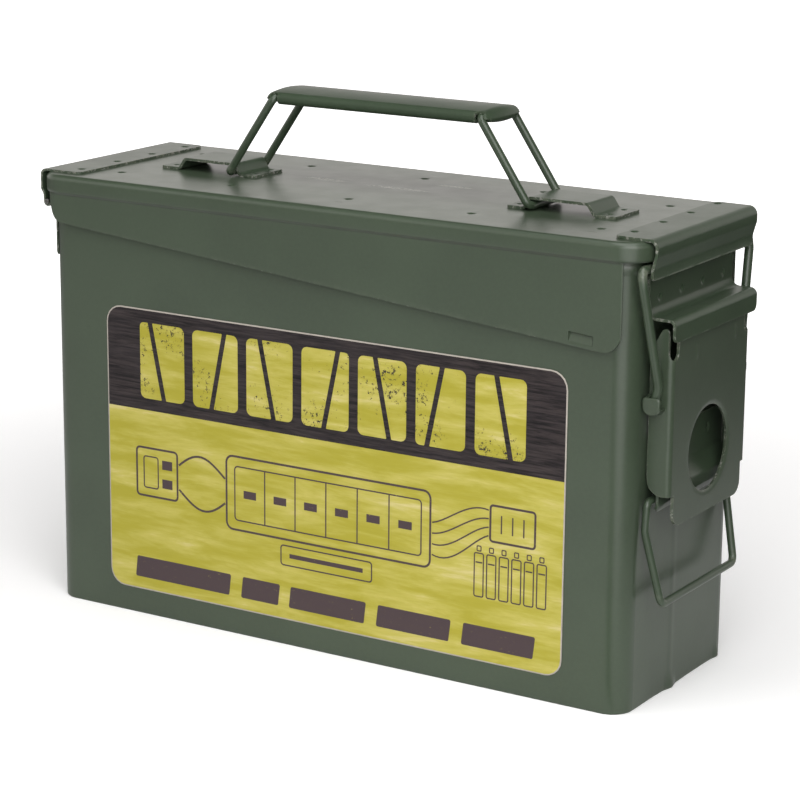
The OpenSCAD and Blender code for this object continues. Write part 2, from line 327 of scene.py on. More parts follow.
def inset_points(loops, distance):
    """Points on both sides of the outlines, at the given distance."""
    out = []
    for loop in loops:
        p = np.array(loop, float)
        d = np.roll(p, -1, axis=0) - np.roll(p, 1, axis=0)
        d /= np.maximum(np.linalg.norm(d, axis=1), 1e-9)[:, None]
        n = np.stack([-d[:, 1], d[:, 0]], axis=1) * distance
        out += [p + n, p - n]
    return np.vstack(out)


def fill_loops(loops, grid, chords=(), near=1e-5):
    """Triangles between the loops, the grid points and any extra lines, and which points lie on a loop."""
    points, edges = [], []
    for loop in loops:
        first = len(points)
        points += loop
        edges += [(first + i, first + (i + 1) % len(loop)) for i in range(len(loop))]
    border = len(points)
    for chord in chords:
        edges.append((len(points), len(points) + 1))
        points += chord
    points += [tuple(p) for p in grid]
    flat, _, faces, origin, _, _ = delaunay_2d_cdt([Vector(p) for p in points], edges, [], 0, near)
    flat = np.array([tuple(p) for p in flat])
    middles = np.array([flat[list(f)].mean(axis=0) for f in faces])
    on_loop = [1.0 if any(o < border for o in sources) else 0.0 for sources in origin]
    return flat, faces, middles, on_loop


def triangulate(loops, us, vs, extra=(), spare=0.12):
    """Mesh of a flat pattern: the loops are its outline and holes, filled on the grid lines."""
    loops = [split_outline(loop, us, vs) for loop in loops]
    grid = np.array([(u, v) for u in us for v in vs] + list(extra), float)
    grid = grid[inside(grid, loops)]
    grid = grid[edge_distance(grid, loops) > WEAR_BAND + spare]
    band = inset_points(loops, WEAR_BAND)
    band = band[inside(band, loops)]
    band = band[edge_distance(band, loops) > WEAR_BAND * 0.9]
    flat, faces, middles, worn = fill_loops(loops, np.vstack([grid, band]))
    return flat, [tuple(f) for f, ok in zip(faces, inside(middles, loops)) if ok], worn


def sheet(name, body, nodes, material, loops, us, vs, place, thickness, outward,
          edge=0.22, extra=()):
    """A pressed sheet part: a flat pattern, bent into shape by place(u, v)."""
    flat, faces, worn = triangulate(loops, us, vs, extra)
    verts = [place(u, v) for u, v in flat]
    return finish_piece(name, verts, faces, body, nodes, [material], worn, outward, thickness, edge)


def weld_marks(points, radius=1.5, depth=0.45):
    """Depth at (a, b) of round weld marks at the points."""

    def height(a, b):
        total = 0.0
        for p in points:
            r = math.hypot(a - p[0], b - p[1]) / radius
            if r < 1:
                total -= depth * (1 - r**5)
        return total

    return height


def welded_strip(name, body, node, paint, fold, outline, weld_s, weld_ys, normal, steps,
                 thickness=FITTING_SHEET, radius=1.5, depth=0.45, edge=0.22, side=1, flare=None):
    """A strip bent along the fold, with weld marks where each weld_s along it meets each weld_ys.

    The marks sink along normal (x, z). Steps are the grid's spacing along and across the strip, and its
    angle in a bend. A side of -1 mirrors the strip, and flare(u) moves it outward.
    """
    lo, hi = box_mm(node)
    along, across, angle = steps
    us = merge_lines(fold.lines(along, angle), around(weld_s, radius))
    vs = merge_lines(span(lo[1], hi[1], across), around(weld_ys, radius))
    marks = weld_marks([(s, y) for s in weld_s for y in weld_ys], radius, depth)

    def place(u, v):
        x, z = fold.at(u)
        sink = marks(u, v)
        out = flare(u) if flare else 0.0
        return (side * (x + out) + normal[0] * sink, v, z + normal[1] * sink)

    outward = (normal[0], 0, max(normal[1], 0.3))
    sheet(name, body, [node], paint, [outline], us, vs, place, thickness, outward, edge)


# ---- Round-cornered shells ----


def perimeter(half_l, half_w, r, xs, ys, turns=8):
    """Stations round a rectangle with round corners: (point on the inner rectangle, outward normal)."""
    a, b = half_l - r, half_w - r
    xs = [-a] + [x for x in xs if -a + 0.1 < x < a - 0.1] + [a]
    ys = [-b] + [y for y in ys if -b + 0.1 < y < b - 0.1] + [b]
    sides = [
        [((x, -b), (0, -1)) for x in xs],
        [((a, y), (1, 0)) for y in ys],
        [((x, b), (0, 1)) for x in reversed(xs)],
        [((-a, y), (-1, 0)) for y in reversed(ys)],
    ]
    corners = [(a, -b), (a, b), (-a, b), (-a, -b)]
    spots = []
    for k in range(4):
        spots += sides[k]
        for i in range(1, turns):
            angle = math.radians(-90 + 90 * (k + i / turns))
            spots.append((corners[k], (math.cos(angle), math.sin(angle))))
    return spots, xs, ys


def ring_faces(rings, count, close=False):
    """Quads between rings of count points each. Close joins the last ring to the first."""
    faces = []
    for j in range(rings if close else rings - 1):
        k = (j + 1) % rings
        for i in range(count):
            h = (i + 1) % count
            faces.append((j * count + i, j * count + h, k * count + h, k * count + i))
    return faces


def loft(spots, r, profile, shape=None, close=False):
    """Rings of (how far out, height) pairs round the stations."""
    verts = []
    for out, z in profile:
        for base, n in spots:
            p = (base[0] + n[0] * (r + out), base[1] + n[1] * (r + out), z)
            verts.append(shape(p, n) if shape else p)
    return verts, ring_faces(len(profile), len(spots), close)


def grid_sheet(xs, ys, place, first):
    """Quads over the grid, with vertex numbers that start at first."""
    verts = [place(x, y) for y in ys for x in xs]
    n = len(xs)
    faces = []
    for j in range(len(ys) - 1):
        for i in range(n - 1):
            a = first + j * n + i
            faces.append((a, a + 1, a + n + 1, a + n))
    return verts, faces


def arc_profile(centre, radius, start, end, count):
    """Points on an arc in (out, z), with angles in degrees from straight out."""
    out = []
    for i in range(count + 1):
        a = math.radians(start + (end - start) * i / count)
        out.append((centre[0] + radius * math.cos(a), centre[1] + radius * math.sin(a)))
    return out


# ---- Wire ----


def wire_path(points, bend, closed, step=5.0, turns=8):
    """Centre line of a bent wire, with a smooth bend at each corner."""
    count = len(points)
    bends = bend if isinstance(bend, (list, tuple)) else [bend] * count
    line = []
    for i, p in enumerate(points):
        if not closed and i in (0, count - 1):
            line.append(np.array(p, float))
        else:
            line += corner_arc(points[i - 1], p, points[(i + 1) % count], bends[i], turns, 0.49)
    dense = []
    for a, b in zip(line, line[1:] + line[:1] if closed else line[1:]):
        parts = max(1, math.ceil(np.linalg.norm(b - a) / step))
        dense += [a + (b - a) * k / parts for k in range(parts)]
    return dense if closed else dense + [line[-1]]


def wire(name, body, node, material, points, radius, bend, closed=False, worn_at=None, sides=20):
    """A round wire bent along the points. worn_at gives how rubbed the paint is at a point."""
    line = wire_path(points, bend, closed)
    count = len(line)
    normal = np.array((0.13, 0.31, 0.94))
    rings = []
    for i, p in enumerate(line):
        a = line[i - 1] if closed or i > 0 else p
        b = line[(i + 1) % count] if closed or i < count - 1 else p
        along = (b - a) / np.linalg.norm(b - a)
        if i == 0:
            normal = np.cross(along, normal)
        normal = normal - (normal @ along) * along
        normal /= np.linalg.norm(normal)
        across = np.cross(along, normal)
        sizes = [(0.0, 1.0)]
        if not closed and i == 0:
            sizes = [(0.0, 0.62), (0.12, 0.88), (0.4, 1.0)]
        if not closed and i == count - 1:
            sizes = [(-0.4, 1.0), (-0.12, 0.88), (0.0, 0.62)]
        rings += [(p + along * radius * ahead, normal, across, radius * size) for ahead, size in sizes]
    angles = [2 * math.pi * s / sides for s in range(sides)]
    verts = [p + r * (math.cos(a) * n + math.sin(a) * b) for p, n, b, r in rings for a in angles]
    worn = [float(worn_at(ring[0])) if worn_at else 0.0 for ring in rings for _ in angles]
    faces = ring_faces(len(rings), sides, closed)
    if not closed:
        faces.append(tuple(range(sides)))
        faces.append(tuple((len(rings) - 1) * sides + s for s in range(sides)))
    return finish_piece(name, verts, faces, body, [node], [material], worn)


# ---- Materials ----


class Nodes:
    """Short calls for building a node tree. Each gives back its node's result."""

    def __init__(self, tree):
        self.tree = tree

    def add(self, kind, **inputs):
        node = self.tree.nodes.new(kind)
        for key, value in inputs.items():
            self.put(node.inputs[key.replace("_", " ")], value)
        return node

    def put(self, socket, value):
        if isinstance(value, bpy.types.NodeSocket):
            self.tree.links.new(value, socket)
        elif isinstance(value, tuple) and len(value) == 3 and socket.type == "RGBA":
            socket.default_value = (*value, 1.0)
        else:
            socket.default_value = value

    def math(self, operation, a, b=0.0, clamp=False):
        node = self.add("ShaderNodeMath")
        node.operation = operation
        node.use_clamp = clamp
        self.put(node.inputs[0], a)
        self.put(node.inputs[1], b)
        return node.outputs[0]

    def times(self, a, b, clamp=False):
        return self.math("MULTIPLY", a, b, clamp)

    def vector(self, operation, a, b=None):
        """The result of a vector operation. SCALE takes a number as b."""
        node = self.add("ShaderNodeVectorMath")
        node.operation = operation
        self.put(node.inputs[0], a)
        if b is not None:
            self.put(node.inputs["Scale"] if operation == "SCALE" else node.inputs[1], b)
        is_number = operation in ("DOT_PRODUCT", "LENGTH", "DISTANCE")
        return node.outputs["Value" if is_number else "Vector"]

    def step(self, value, low, high, out_low=0.0, out_high=1.0):
        node = self.add("ShaderNodeMapRange", Value=value, From_Min=low, From_Max=high,
                        To_Min=out_low, To_Max=out_high)
        node.interpolation_type = "SMOOTHSTEP"
        return node.outputs[0]

    def seen_by_camera(self):
        return self.add("ShaderNodeLightPath").outputs["Is Camera Ray"]


class Shader(Nodes):
    """A node material, with calls for patterns that are sized in millimetres."""

    def __init__(self, name):
        self.material = bpy.data.materials.new(name)
        self.material.use_nodes = True
        super().__init__(self.material.node_tree)
        self.tree.nodes.clear()
        self.surface = self.add("ShaderNodeBsdfPrincipled")
        self.add("ShaderNodeOutputMaterial", Surface=self.surface.outputs[0])
        self.mm = self.vector("SCALE", self.add("ShaderNodeTexCoord").outputs["Object"], 1 / MM)

    def noise(self, scale, detail=2.0, rough=0.5, stretch=(1.0, 1.0, 1.0), shift=(0.0, 0.0, 0.0), bend=0.0):
        """Noise with scale in features per millimetre, drawn out along an axis by a small stretch."""
        place = self.vector("MULTIPLY", self.vector("ADD", self.mm, shift), stretch)
        return self.add("ShaderNodeTexNoise", Vector=place, Scale=scale, Detail=detail, Roughness=rough,
                        Distortion=bend).outputs[0]

    def mix(self, share, a, b):
        node = self.add("ShaderNodeMix")
        node.data_type = "RGBA"
        for index, value in ((0, share), (6, a), (7, b)):
            self.put(node.inputs[index], value)
        return node.outputs[2]

    def axis(self, index):
        return self.add("ShaderNodeSeparateXYZ", Vector=self.mm).outputs[index]

    def wear(self):
        node = self.add("ShaderNodeAttribute")
        node.attribute_name = "wear"
        return node.outputs["Fac"]

    def bump(self, height, distance, before=None):
        node = self.add("ShaderNodeBump", Height=height, Distance=distance * MM, Strength=1.0)
        if before is not None:
            self.put(node.inputs["Normal"], before)
        return node.outputs[0]

    def set(self, **inputs):
        names = {"color": "Base Color", "rough": "Roughness", "metal": "Metallic", "normal": "Normal",
                 "ior": "IOR", "shine": "Specular IOR Level", "glow": "Emission Color",
                 "glow_power": "Emission Strength"}
        for key, value in inputs.items():
            self.put(self.surface.inputs[names[key]], value)


OLIVE = (0.043, 0.061, 0.038)
OLIVE_DARK = (0.038, 0.057, 0.034)
EDGE_PALE = (0.14, 0.155, 0.115)
SCUFF_PALE = (0.80, 0.79, 0.74)
STEEL = (0.55, 0.54, 0.50)


def tint(color, factor):
    return tuple(c * factor for c in color)


def enamel(name, color, roughness=0.36, edge_wear=0.55, scuffs=None, gloss=1.5, painted_shade=None):
    """Baked enamel on sheet steel: faint mottling, orange peel, paint thinned along worn edges, and painted
    shade where a mask is given.
    """
    s = Shader(name)
    broad = s.noise(0.018, 3.0, shift=(11.0, 5.0, 3.0))
    fine = s.noise(0.7, 4.0, 0.6)
    tone = s.mix(s.step(broad, 0.35, 0.65), tint(color, 0.93), tint(color, 1.07))
    tone = s.mix(s.step(fine, 0.3, 0.75, 0.0, 0.16), tone, tint(color, 1.5))
    specks = s.step(s.noise(1.9, 2.0, shift=(3.0, 1.0, 7.0)), 0.70, 0.78, 0.0, 0.35)
    tone = s.mix(specks, tone, tint(color, 1.9))
    rubbed = s.times(s.wear(), s.step(s.noise(0.33, 4.0, 0.65), 0.38, 0.66), clamp=True)
    tone = s.mix(s.times(rubbed, edge_wear), tone, EDGE_PALE)
    bare = s.step(s.times(s.wear(), s.noise(0.5, 5.0, 0.7, shift=(9.0, 2.0, 4.0))), 0.52, 0.60)
    bare = s.times(bare, edge_wear)
    # Painted shade: where the mask is set, the colour is darkened to about a third, standing in for shadow.
    if painted_shade:
        tone = s.mix(painted_shade(s), tone, tint(color, 0.35))
    rough = s.step(s.noise(0.09, 3.0), 0.3, 0.7, roughness - 0.01, roughness + 0.02)
    if scuffs:
        mark = scuffs(s)
        tone = s.mix(s.times(mark, 0.65), tone, SCUFF_PALE)
        rough = s.math("ADD", rough, s.times(mark, 0.2))
    s.set(color=s.mix(bare, tone, STEEL), rough=rough, metal=s.times(bare, 0.8), ior=gloss)
    peel = s.bump(s.noise(0.45, 2.0, 0.4), 0.016)
    s.set(normal=s.bump(s.noise(2.6, 3.0), 0.004, peel))
    return s.material


def lid_scuffs(s):
    """Pale rub marks on the lid between the handle brackets."""
    flecks = s.step(s.noise(0.9, 5.0, 0.8, stretch=(0.45, 1.3, 1.0), bend=0.6), 0.45, 0.57)
    # Each mark as its centre and its reach, in x and y
    places = ((-31.0, 4.5, 11.0, 2.6), (4.0, 3.0, 16.0, 2.2), (20.0, 18.5, 9.0, 1.8), (-95.0, 22.0, 4.0, 5.0))
    total = 0.0
    for x, y, reach_x, reach_y in places:
        dx = s.math("DIVIDE", s.math("SUBTRACT", s.axis(0), x), reach_x)
        dy = s.math("DIVIDE", s.math("SUBTRACT", s.axis(1), y), reach_y)
        square = s.math("ADD", s.times(dx, dx), s.times(dy, dy))
        total = s.math("ADD", s.step(square, 0.2, 1.2, 1.0, 0.0), total, clamp=True)
    on_top = s.step(s.axis(2), LID_Z - 0.8, LID_Z - 0.4)
    return s.times(s.times(total, flecks), on_top)


def rim_step_painted_shade(s):
    """Painted shade in the step where the skirt leaves the rim, weaker in places."""
    height = s.axis(2)
    above = s.step(height, RIM_Z - 1.3, RIM_Z - 0.2)
    below = s.step(height, RIM_Z - 0.1, RIM_Z + 1.0, 1.0, 0.0)
    uneven = s.step(s.noise(0.05, 4.0), 0.3, 0.7, 0.4, 0.75)
    return s.times(s.times(above, below), uneven)


def bare_steel():
    """Drawn steel pin with fine lines along it."""
    s = Shader("drawn_steel")
    lines = s.noise(2.0, 4.0, 0.6, stretch=(6.0, 0.15, 6.0))
    s.set(color=s.mix(lines, (0.10, 0.10, 0.09), (0.24, 0.235, 0.22)), metal=1.0,
          rough=s.step(lines, 0.3, 0.7, 0.25, 0.42), normal=s.bump(lines, 0.01))
    return s.material


def rubber():
    """Dark gasket rubber with a dusty bloom."""
    s = Shader("gasket_rubber_look")
    bloom = s.noise(0.25, 5.0, 0.7)
    s.set(color=s.mix(s.step(bloom, 0.35, 0.75), (0.022, 0.022, 0.021), (0.06, 0.058, 0.054)),
          rough=s.step(bloom, 0.3, 0.8, 0.55, 0.8), normal=s.bump(s.noise(3.0, 3.0), 0.02))
    return s.material


def label_finish(s, color, rough=0.42):
    s.set(color=color, rough=rough, ior=1.32, normal=s.bump(s.noise(0.8, 2.0), 0.006))
    return s.material


def wood_color(s):
    """Dark stained board: long grain streaks over a warm black."""
    grain = s.noise(0.55, 6.0, 0.72, stretch=(0.10, 1.0, 1.6), bend=0.4)
    broad = s.noise(0.10, 3.0, 0.6, stretch=(0.25, 1.0, 1.0), shift=(40.0, 0.0, 9.0))
    tone = s.mix(s.step(grain, 0.34, 0.68), (0.004, 0.003, 0.004), (0.046, 0.036, 0.036))
    return s.mix(s.step(broad, 0.35, 0.7, 0.0, 0.4), tone, (0.030, 0.025, 0.028))


def lime_color(s):
    """Streaked lime yellow, as a brushed coat over pale board."""
    streak = s.noise(0.16, 5.0, 0.62, stretch=(0.16, 1.0, 1.0), bend=0.3)
    fine = s.noise(0.9, 5.0, 0.7, stretch=(0.10, 1.0, 1.0), shift=(0.0, 0.0, 21.0))
    tone = s.mix(s.step(streak, 0.36, 0.66), (0.36, 0.325, 0.033), (0.48, 0.43, 0.10))
    tone = s.mix(s.step(streak, 0.58, 0.74, 0.0, 0.75), tone, (0.62, 0.54, 0.27))
    return s.mix(s.step(fine, 0.45, 0.75, 0.0, 0.3), tone, (0.31, 0.285, 0.03))


def wood_print():
    s = Shader("label_board")
    return label_finish(s, wood_color(s), 0.5)


def lime_print():
    s = Shader("label_field")
    return label_finish(s, lime_color(s))


def chipped_lime_print():
    """Lime blocks on the board, chipped so that the board shows through."""
    s = Shader("label_blocks")
    chips = s.noise(0.55, 6.0, 0.8, shift=(5.0, 0.0, 2.0))
    where = s.noise(0.045, 2.0, shift=(60.0, 0.0, 33.0))
    limit = s.step(where, 0.35, 0.65, 0.56, 0.70)
    gone = s.step(s.math("SUBTRACT", chips, limit), -0.01, 0.015)
    return label_finish(s, s.mix(gone, lime_color(s), wood_color(s)))


def ink_print():
    """Dark brown ink over the lime, a little worn."""
    s = Shader("label_ink")
    worn = s.step(s.noise(0.8, 5.0, 0.8, stretch=(0.5, 1.0, 1.0)), 0.63, 0.70, 0.0, 0.8)
    return label_finish(s, s.mix(worn, (0.062, 0.043, 0.047), lime_color(s)))


def pale_rim_print():
    """Bare vinyl at the label's cut edge."""
    s = Shader("label_cut_edge")
    tone = s.mix(s.noise(0.6, 3.0), (0.30, 0.27, 0.24), (0.46, 0.43, 0.38))
    return label_finish(s, tone)


CAN_PAINT = enamel("enamel_can", OLIVE, 0.31)
# The lid's paint carries a painted shade line in the step under its rim.
LID_PAINT = enamel("enamel_lid", OLIVE, 0.31, edge_wear=0.12, scuffs=lid_scuffs, painted_shade=rim_step_painted_shade)
LATCH_PAINT = enamel("enamel_latch", OLIVE_DARK, 0.34, edge_wear=0.35, gloss=1.33)
GRIP_PAINT = enamel("enamel_grip", OLIVE_DARK, 0.38, edge_wear=0.3, gloss=1.27)
FITTING_PAINT = enamel("enamel_fittings", OLIVE_DARK, 0.34, edge_wear=0.5)
LEVER_PAINT = enamel("enamel_lever", OLIVE, 0.36, edge_wear=0.45)
WIRE_PAINT = enamel("enamel_wire", OLIVE_DARK, 0.30, edge_wear=0.9)
PIN_STEEL = bare_steel()
RUBBER = rubber()


# ---- Can ----


def ripple(a, z, half, top):
    """Faint hand-felt waviness of a flat wall, fading out at its borders."""
    fade = math.cos(math.pi * a / (2 * half)) * math.sin(math.pi * min(max(z / top, 0), 1))
    wave = math.sin(a / 31 + 0.7) * math.sin(z / 37 + 0.4)
    wave += 0.6 * math.sin(a / 17 + 2.1) * math.sin(z / 53 + 1.3)
    return 0.16 * fade * wave


# Weld seam down the latch end, and lumps at its foot as (y, reach, rise)
SEAM_Y = -5.5
SEAM_W = 3.4
LUMP_Z = 3.4
LUMPS = ((SEAM_Y, 4.2, 1.3), (35.5, 3.0, 0.8))


def wall_shape(p, n):
    """Moves a point of the wall outward by the ripple and the seam."""
    x, y, z = p
    out = 0.0
    if abs(n[1]) > 0.99:
        out += ripple(x, z, BODY_X, MOUTH_Z)
    if abs(n[0]) > 0.99:
        out += ripple(y, z, BODY_Y, MOUTH_Z)
    if n[0] > 0.99 and z < MOUTH_Z - 12:
        across = y - SEAM_Y
        out += 0.16 * math.exp(-((across / (SEAM_W / 2)) ** 2))
        for lump_y, reach, rise in LUMPS:
            out += rise * math.exp(-(((y - lump_y) / reach) ** 2) - ((z - 1.0) / LUMP_Z) ** 2)
    return (x + n[0] * out, y + n[1] * out, z)


def build_can_wall():
    xs = span(-BODY_X, BODY_X, 9)
    ys = merge_lines(span(-BODY_Y, BODY_Y, 9), [SEAM_Y + 0.9 * i for i in range(-6, 7)],
                     [LUMPS[1][0] + 1.3 * i for i in range(-3, 4)], gap=0.4)
    spots, _, _ = perimeter(BODY_X, BODY_Y, BODY_R, xs, ys, 10)
    foot_r = 0.85
    bead_z = MOUTH_Z - 6.4
    roll = MOUTH_OUT
    outer = [(-WALL, 0.35), (-0.75, 0.08), (-0.5, 0.0), (-0.35, 0.04), (-0.12, 0.3), (0.0, foot_r)]
    outer += [(0.0, z) for z in (1.7, 2.6, 3.6, 4.8, 6.2)] + [(0.0, z) for z in span(8.0, bead_z - 2.6, 9)]
    outer += [(0.06, bead_z - 1.9), (0.30, bead_z - 1.3), (0.50, bead_z - 0.6), (0.55, bead_z),
              (0.50, bead_z + 0.6), (0.30, bead_z + 1.3), (0.06, bead_z + 1.9), (0.0, bead_z + 2.4)]
    outer += [(0.05, MOUTH_Z - 2.9), (roll * 0.5, MOUTH_Z - 2.5), (roll * 0.95, MOUTH_Z - 1.9),
              (roll, MOUTH_Z - 1.2), (roll * 0.9, MOUTH_Z - 0.5), (roll * 0.5, MOUTH_Z - 0.1),
              (0.0, MOUTH_Z), (-0.45, MOUTH_Z - 0.1), (-0.8, MOUTH_Z - 0.5), (-WALL, MOUTH_Z - 1.1)]
    inner = [(-WALL, z) for z in span(bead_z + 2.4, 3.0, 12)]
    verts, faces = loft(spots, BODY_R, outer + inner, wall_shape, close=True)
    finish_piece("can_wall", verts, faces, "can", ["body_shell"], [CAN_PAINT])


def build_can_floor():
    """Pressed pan. It is raised in a groove just inside its edge, and flat on the ground in the middle."""
    half_l, half_w, flange_z = box_mm("bottom_pan")[1]
    r = BODY_R - WALL
    groove_rise = 1.0
    profile = [(0, flange_z), (0, 4.0), (0, 2.2)] + arc_profile((-1.6, 1.6), 1.6, 0, -90, 4)
    profile += [(-7.0, 0)] + [(-r, z) for z in (0, 0.3, 0.8, groove_rise)]
    inner_x, inner_y = half_l - r, half_w - r
    groove_w, slope = 4.0, 2.0

    def floor(x, y):
        inward = min(inner_x - abs(x), inner_y - abs(y))
        t = min(max((inward - groove_w) / slope, 0), 1)
        return (x, y, groove_rise * (1 - t * t * (3 - 2 * t)))

    steps = [groove_w + slope * t / 3 for t in range(4)]
    xs = merge_lines(span(-half_l, half_l, 12), [s * (inner_x - d) for d in steps for s in (-1, 1)])
    ys = merge_lines(span(-half_w, half_w, 12), [s * (inner_y - d) for d in steps for s in (-1, 1)])
    spots, xs, ys = perimeter(half_l, half_w, r, xs, ys)
    verts, faces = loft(spots, r, profile)
    more, quads = grid_sheet(xs, ys, floor, len(verts))
    finish_piece("can_floor", verts + more, faces + quads, "can", ["bottom_pan"], [CAN_PAINT],
                 outward=(0, 0, -1), thickness=WALL, edge=0.2)


def build_keeper():
    lo, hi = box_mm("keeper")
    face_x, ledge_z, weld_z = lo[0] + FITTING_SHEET, 149.0, 155.2
    fold = Fold([(face_x, hi[2]), (face_x, ledge_z), (hi[0], ledge_z), (hi[0], lo[2])], [3.4, 2.6])
    s = fold.length
    outline = rounded([(0, lo[1]), (s, lo[1]), (s, hi[1]), (0, hi[1])], [2, 2.5, 2.5, 2])
    welded_strip("latch_keeper", "can", "keeper", LATCH_PAINT, fold, outline, [hi[2] - weld_z],
                 [-26.4, -8.8, 8.8, 26.4], (1, 0), (6, 6, 12), radius=1.4, depth=0.5)


def build_ring_bracket():
    lo, hi = box_mm("ring_bracket")
    face_x = lo[0] + FITTING_SHEET
    fold = Fold([(face_x, hi[2]), (face_x, hi[2] - 15), (hi[0], hi[2] - 21), (hi[0], lo[2] + 2.5),
                 (hi[0] - 1, lo[2])], [3.0, 3.0, 2.0])
    outline = box_outline(0, lo[1], fold.length, hi[1], 2.0)
    welded_strip("ring_holder", "can", "ring_bracket", FITTING_PAINT, fold, outline, [7.0],
                 [-18.0, 0.0, 18.0], (1, 0), (5, 6, 12))


PIN_R = 1.1
KNUCKLE_R = 2.05
KNUCKLE_W = 11.0
KNUCKLE_YS = (-16.0, 16.0)


def build_hinge_bracket():
    """Plate off the hinge-end wall, curled in at the bottom, with two tongues rolled over the pin."""
    lo, hi = box_mm("hinge_bracket")
    pin = joint_mm("lid_hinge")
    back_x = pin[0] + KNUCKLE_R
    start_x, turn_z = hi[0] - 0.1, lo[2] + SKIRT_SHEET
    fold = Fold([(start_x, turn_z), (back_x, turn_z), (back_x, pin[2])], [0.6], tail=[(KNUCKLE_R, 300)])
    plate = pin[2] - KNUCKLE_R - 0.5 - turn_z + start_x - back_x
    tongues = []
    for y in reversed(KNUCKLE_YS):
        a, b = y + KNUCKLE_W / 2, y - KNUCKLE_W / 2
        tongues += [(plate, a), (fold.length, a), (fold.length, b), (plate, b)]
    outline = rounded([(0, lo[1]), (0, hi[1]), (plate, hi[1])] + tongues + [(plate, lo[1])],
                      [0.8, 0.8, 1.5] + [0.6, 0.3, 0.3, 0.6] * 2 + [1.5], turns=3)
    welded_strip("hinge_plate", "can", "hinge_bracket", FITTING_PAINT, fold, outline, [11.0],
                 [-28.0, -9.0, 9.0, 28.0], (1, 0), (5, 6, 18), SKIRT_SHEET, depth=-0.35, edge=0.15)


def build_hinge_pin():
    lo, hi = box_mm("hinge_pin")
    x, _, z = joint_mm("lid_hinge")
    wire("hinge_rod", "can", "hinge_pin", PIN_STEEL, [(x, lo[1], z), (x, hi[1], z)], PIN_R, 0)


# ---- Lid ----

SKIRT_LEFT = -LID_X + 7
SKIRT_RIGHT = LID_X - 8.7
SKIRT_LEFT_Z = LID_Z - 19.2
SKIRT_RIGHT_Z = LID_Z - 41.2
SKIRT_CORNER = 7.5
SKIRT_END_W = 6.0
SKIRT_END_H = 9.0
# The skirt lies inside the rim, below a step. A small tab is pressed into it near its right end.
SKIRT_IN = 0.75
STEP_H = 1.9
TAB_X0, TAB_X1 = SKIRT_RIGHT - 20.9, SKIRT_RIGHT - 11.1
TAB_H = 3.4
TAB_DEPTH = 1.35


def skirt_line(x):
    """Height of the skirt's straight lower edge."""
    t = (x - SKIRT_LEFT - SKIRT_END_W) / (SKIRT_RIGHT - SKIRT_LEFT - SKIRT_END_W)
    return SKIRT_LEFT_Z + (SKIRT_RIGHT_Z - SKIRT_LEFT_Z) * t


def skirt_bottom(x):
    """Height of the skirt's lower edge, with its two rounded ends."""
    z = skirt_line(x)
    corner = x - (SKIRT_RIGHT - SKIRT_CORNER)
    if corner > 0:
        z = skirt_line(SKIRT_RIGHT - SKIRT_CORNER) + SKIRT_CORNER
        z -= math.sqrt(max(SKIRT_CORNER**2 - corner**2, 0))
    near = x - SKIRT_LEFT
    if near < SKIRT_END_W:
        z += SKIRT_END_H * (1 - math.sqrt(max(1 - (1 - near / SKIRT_END_W) ** 2, 0)))
    return z


def skirt_column(x):
    """Points (y, z, wear) down the skirt at x, from its lower edge up through the step to the rim."""
    round_in = max(abs(x) - (LID_X - LID_R), 0)
    rim_y = LID_Y - LID_R + math.sqrt(LID_R**2 - round_in**2)
    low, high = skirt_bottom(x), RIM_Z - STEP_H
    tab_low = skirt_line(x) + 1.6
    tab_top = tab_low + TAB_H
    heights = [low + (high - low) * t / 11 for t in range(12)]
    if TAB_X0 - 1 < x < TAB_X1 + 1:
        heights = [low, low + 0.5, tab_low - 0.1, tab_low + 0.12, tab_top - 0.12, tab_top + 0.12]
        heights += [heights[-1] + (high - heights[-1]) * t / 6 for t in range(1, 7)]
    column = []
    for z in heights:
        in_tab = TAB_X0 < x < TAB_X1 and tab_low < z < tab_top
        depth = TAB_DEPTH * (z - tab_low) / TAB_H if in_tab else 0.0
        column.append((min(LID_Y - SKIRT_IN - depth, rim_y - 0.3), z, 1.0 if z == low else 0.0))
    for inset, drop in ((0.74, 0.9), (0.68, 0.5), (0.5, 0.2), (0.28, 0.0)):
        column.append((min(LID_Y - inset, rim_y - 0.28), RIM_Z - drop, 0.0))
    return column


